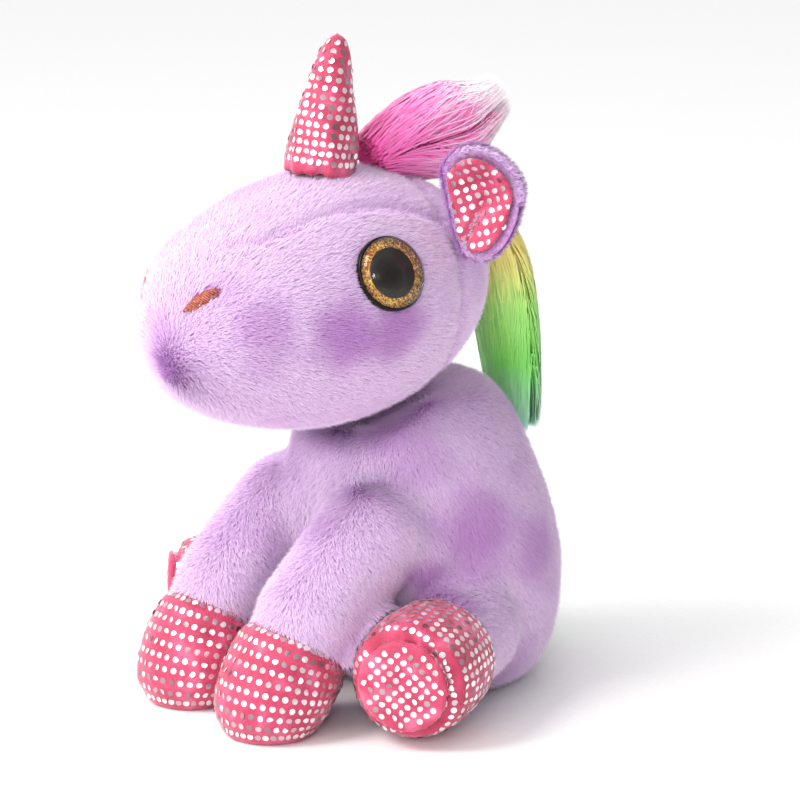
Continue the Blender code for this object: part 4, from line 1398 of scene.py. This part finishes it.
PINK = [(0.0, "#FF66BE"), (0.25, "#FF9CDA"), (0.5, "#FFD0EE"), (0.8, "#FFFAFD")]
PINK_HAIR = dyed_hair("pink_acrylic_long_pile", PINK)
MANE_LOW, MANE_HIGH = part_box("mane")
RAINBOW = [(0.0, "#C4F2EA"), (0.14, "#ABF0BC"), (0.32, "#86EA66")]
RAINBOW += [(0.56, "#B2F57E"), (0.74, "#FAF08A"), (1.0, "#F2DA62")]
RAINBOW_HAIR = dyed_hair("rainbow_acrylic_long_pile", RAINBOW, (MANE_LOW.z, MANE_HIGH.z))
TEAL = [(0.0, "#86EA66"), (0.3, "#ABF0BC"), (0.6, "#B4ECEA"), (1.0, "#FFC2E6")]
TAIL_HAIR = dyed_hair("teal_to_pink_acrylic_long_pile", TEAL)

# Each station of a lock: its place in shares of the node's box, and half its width and depth in mm.
FORELOCK = [
    ((0.5, 0.0, 0.22), 7, 7),
    ((0.5, 0.2, 0.33), 8.5, 10),
    ((0.5, 0.42, 0.41), 10, 12.5),
    ((0.5, 0.66, 0.47), 9, 13),
    ((0.5, 0.86, 0.62), 6.5, 9),
    ((0.5, 1.03, 0.8), 5, 6),
]
MANE = [
    ((0.5, 0.12, 0.97), 5, 3),
    ((0.5, 0.36, 0.86), 9, 7.5),
    ((0.5, 0.58, 0.68), 11, 9),
    ((0.5, 0.72, 0.46), 11, 8),
    ((0.5, 0.8, 0.25), 10, 7),
    ((0.5, 0.85, 0.08), 9, 6),
    ((0.5, 0.86, -0.02), 8, 5),
]
TAIL = [
    ((0.98, 0.7, 0.9), 2, 2),
    ((0.8, 0.78, 0.78), 4.5, 4.5),
    ((0.5, 0.7, 0.5), 5.5, 5.5),
    ((0.2, 0.42, 0.25), 4.5, 4.5),
    ((0.0, 0.1, 0.15), 2, 2),
]
lock("forelock_hair", "forelock", FORELOCK, 10000, PINK_HAIR, "head", 0.8, 5)
lock("mane_hair", "mane", MANE, 11000, RAINBOW_HAIR, "head", 0.7, 6)
lock("tail_hair", "tail", TAIL, 4500, TAIL_HAIR, "tail", 0.35, 7)

# %% [markdown]
# ## Inside pieces
# The neck plug, the pellet bag and the eyes' washers keep their measured shapes and get a finish.


# %% Inner finishes
# The pellet bag is spunbond cloth and the washers are moulded.
WHITES = [(0.3, "#D8D8D2"), (0.7, "#F0F0EA")]
SPUNBOND = grained("white_spunbond_polypropylene", WHITES, 900.0, {"Roughness": 0.9}, 3.0)
MILKY = [(0.3, "#E2E2E0"), (0.7, "#F2F2F0")]
WASHER = grained("natural_polyethylene", MILKY, 300.0, {"Roughness": 0.4}, 3.0)
for name, material in (
    ("pellet_bag", SPUNBOND),
    ("neck_plug", LAVENDER_GROUND),
    ("eye_washer_left", WASHER),
    ("eye_washer_right", WASHER),
):
    nodes[name].data.materials.clear()
    nodes[name].data.materials.append(material)

for helper in (blade, dot):
    bpy.data.objects.remove(helper)

# %% [markdown]
# ## Floor, light and camera
# A pale floor, a soft key light from the upper left of the view, a weaker fill, a small catch light
# for the eyes and a bright surround. The camera has a long lens and looks slightly down.


# %% Studio
PALE = [(0.3, "#F7F6F7"), (0.7, "#FBFAFB")]
PAPER = grained("matt_background_paper", PALE, 600.0, {"Roughness": 0.95})
bpy.ops.mesh.primitive_plane_add(size=6, location=(0, 0, -0.2 * MM))
floor = bpy.context.object
floor.name = "floor"
floor.data.materials.append(PAPER)
floor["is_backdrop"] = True

AZIMUTH, ELEVATION, DISTANCE = math.radians(51.97), math.radians(13.68), 0.953
AIM_RIGHT, AIM_SHIFT, AIM_HEIGHT = 10.24 * MM, -1.0 * MM, 79.4 * MM
LENS, SENSOR = 159.4, 36.0
right = Vector((math.cos(AZIMUTH), math.sin(AZIMUTH), 0))
level_way = Vector((math.sin(AZIMUTH), -math.cos(AZIMUTH), 0))
to_camera = level_way * math.cos(ELEVATION) + Vector((0, 0, math.sin(ELEVATION)))
aim = right * AIM_RIGHT + Vector((0, AIM_SHIFT, AIM_HEIGHT))
view = bpy.data.cameras.new("view")
view.lens = LENS
view.sensor_width = SENSOR
camera = bpy.data.objects.new("camera", view)
camera.location = aim + to_camera * DISTANCE
camera.rotation_euler = to_camera.to_track_quat("Z", "Y").to_euler()
bpy.context.scene.collection.objects.link(camera)
bpy.context.scene.camera = camera


def soft_light(name, way, distance, size, power, colour="#FFFFFF"):
    """A round soft box that faces the toy from one side."""
    lamp = bpy.data.lights.new(name, "AREA")
    lamp.shape = "DISK"
    lamp.size = size
    lamp.energy = power
    lamp.color = linear(colour)[:3]
    piece = bpy.data.objects.new(name, lamp)
    piece.location = Vector((0, 0, 0.09)) + way.normalized() * distance
    piece.rotation_euler = way.to_track_quat("Z", "Y").to_euler()
    bpy.context.scene.collection.objects.link(piece)


def studio_surround(bright_way, low, high):
    """A white surround whose brightness grows smoothly towards one side, as in a tent with one lit wall."""
    world = bpy.data.worlds.new("surround")
    world.use_nodes = True
    tree = world.node_tree
    tree.nodes.clear()
    way = add(tree, "ShaderNodeTexCoord").outputs["Generated"]
    both = {0: way, 1: tuple(bright_way.normalized())}
    facing = add(tree, "ShaderNodeVectorMath", both, operation="DOT_PRODUCT").outputs["Value"]
    span = {"Value": facing, "From Min": -0.75, "From Max": 0.85, "To Min": low, "To Max": high}
    level = add(tree, "ShaderNodeMapRange", span, interpolation_type="SMOOTHSTEP")
    tent = add(tree, "ShaderNodeBackground", {"Strength": level.outputs[0]})
    add(tree, "ShaderNodeOutputWorld", {"Surface": tent.outputs[0]})
    bpy.context.scene.world = world


up = Vector((0, 0, 1))
studio_surround(up * 0.6 - right * 0.9 - to_camera * 0.55, 0.55, 1.5)
soft_light("key", -right * 0.9 + up * 0.9 + to_camera * 0.45, 0.9, 0.45, 6.5, "#FFFAF6")
soft_light("fill", -right * 0.5 + up * 0.05 + to_camera * 0.9, 1.2, 0.8, 3.6)
soft_light("catch_light", -right * 0.03 + up * 0.14 + to_camera, 1.2, 0.2, 1.8)
bpy.context.scene.view_settings.view_transform = "Standard"

# %% Sizes for the record, and the end
low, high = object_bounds()
print("visual box in mm", [round(c / MM, 1) for c in (*low, *high)])
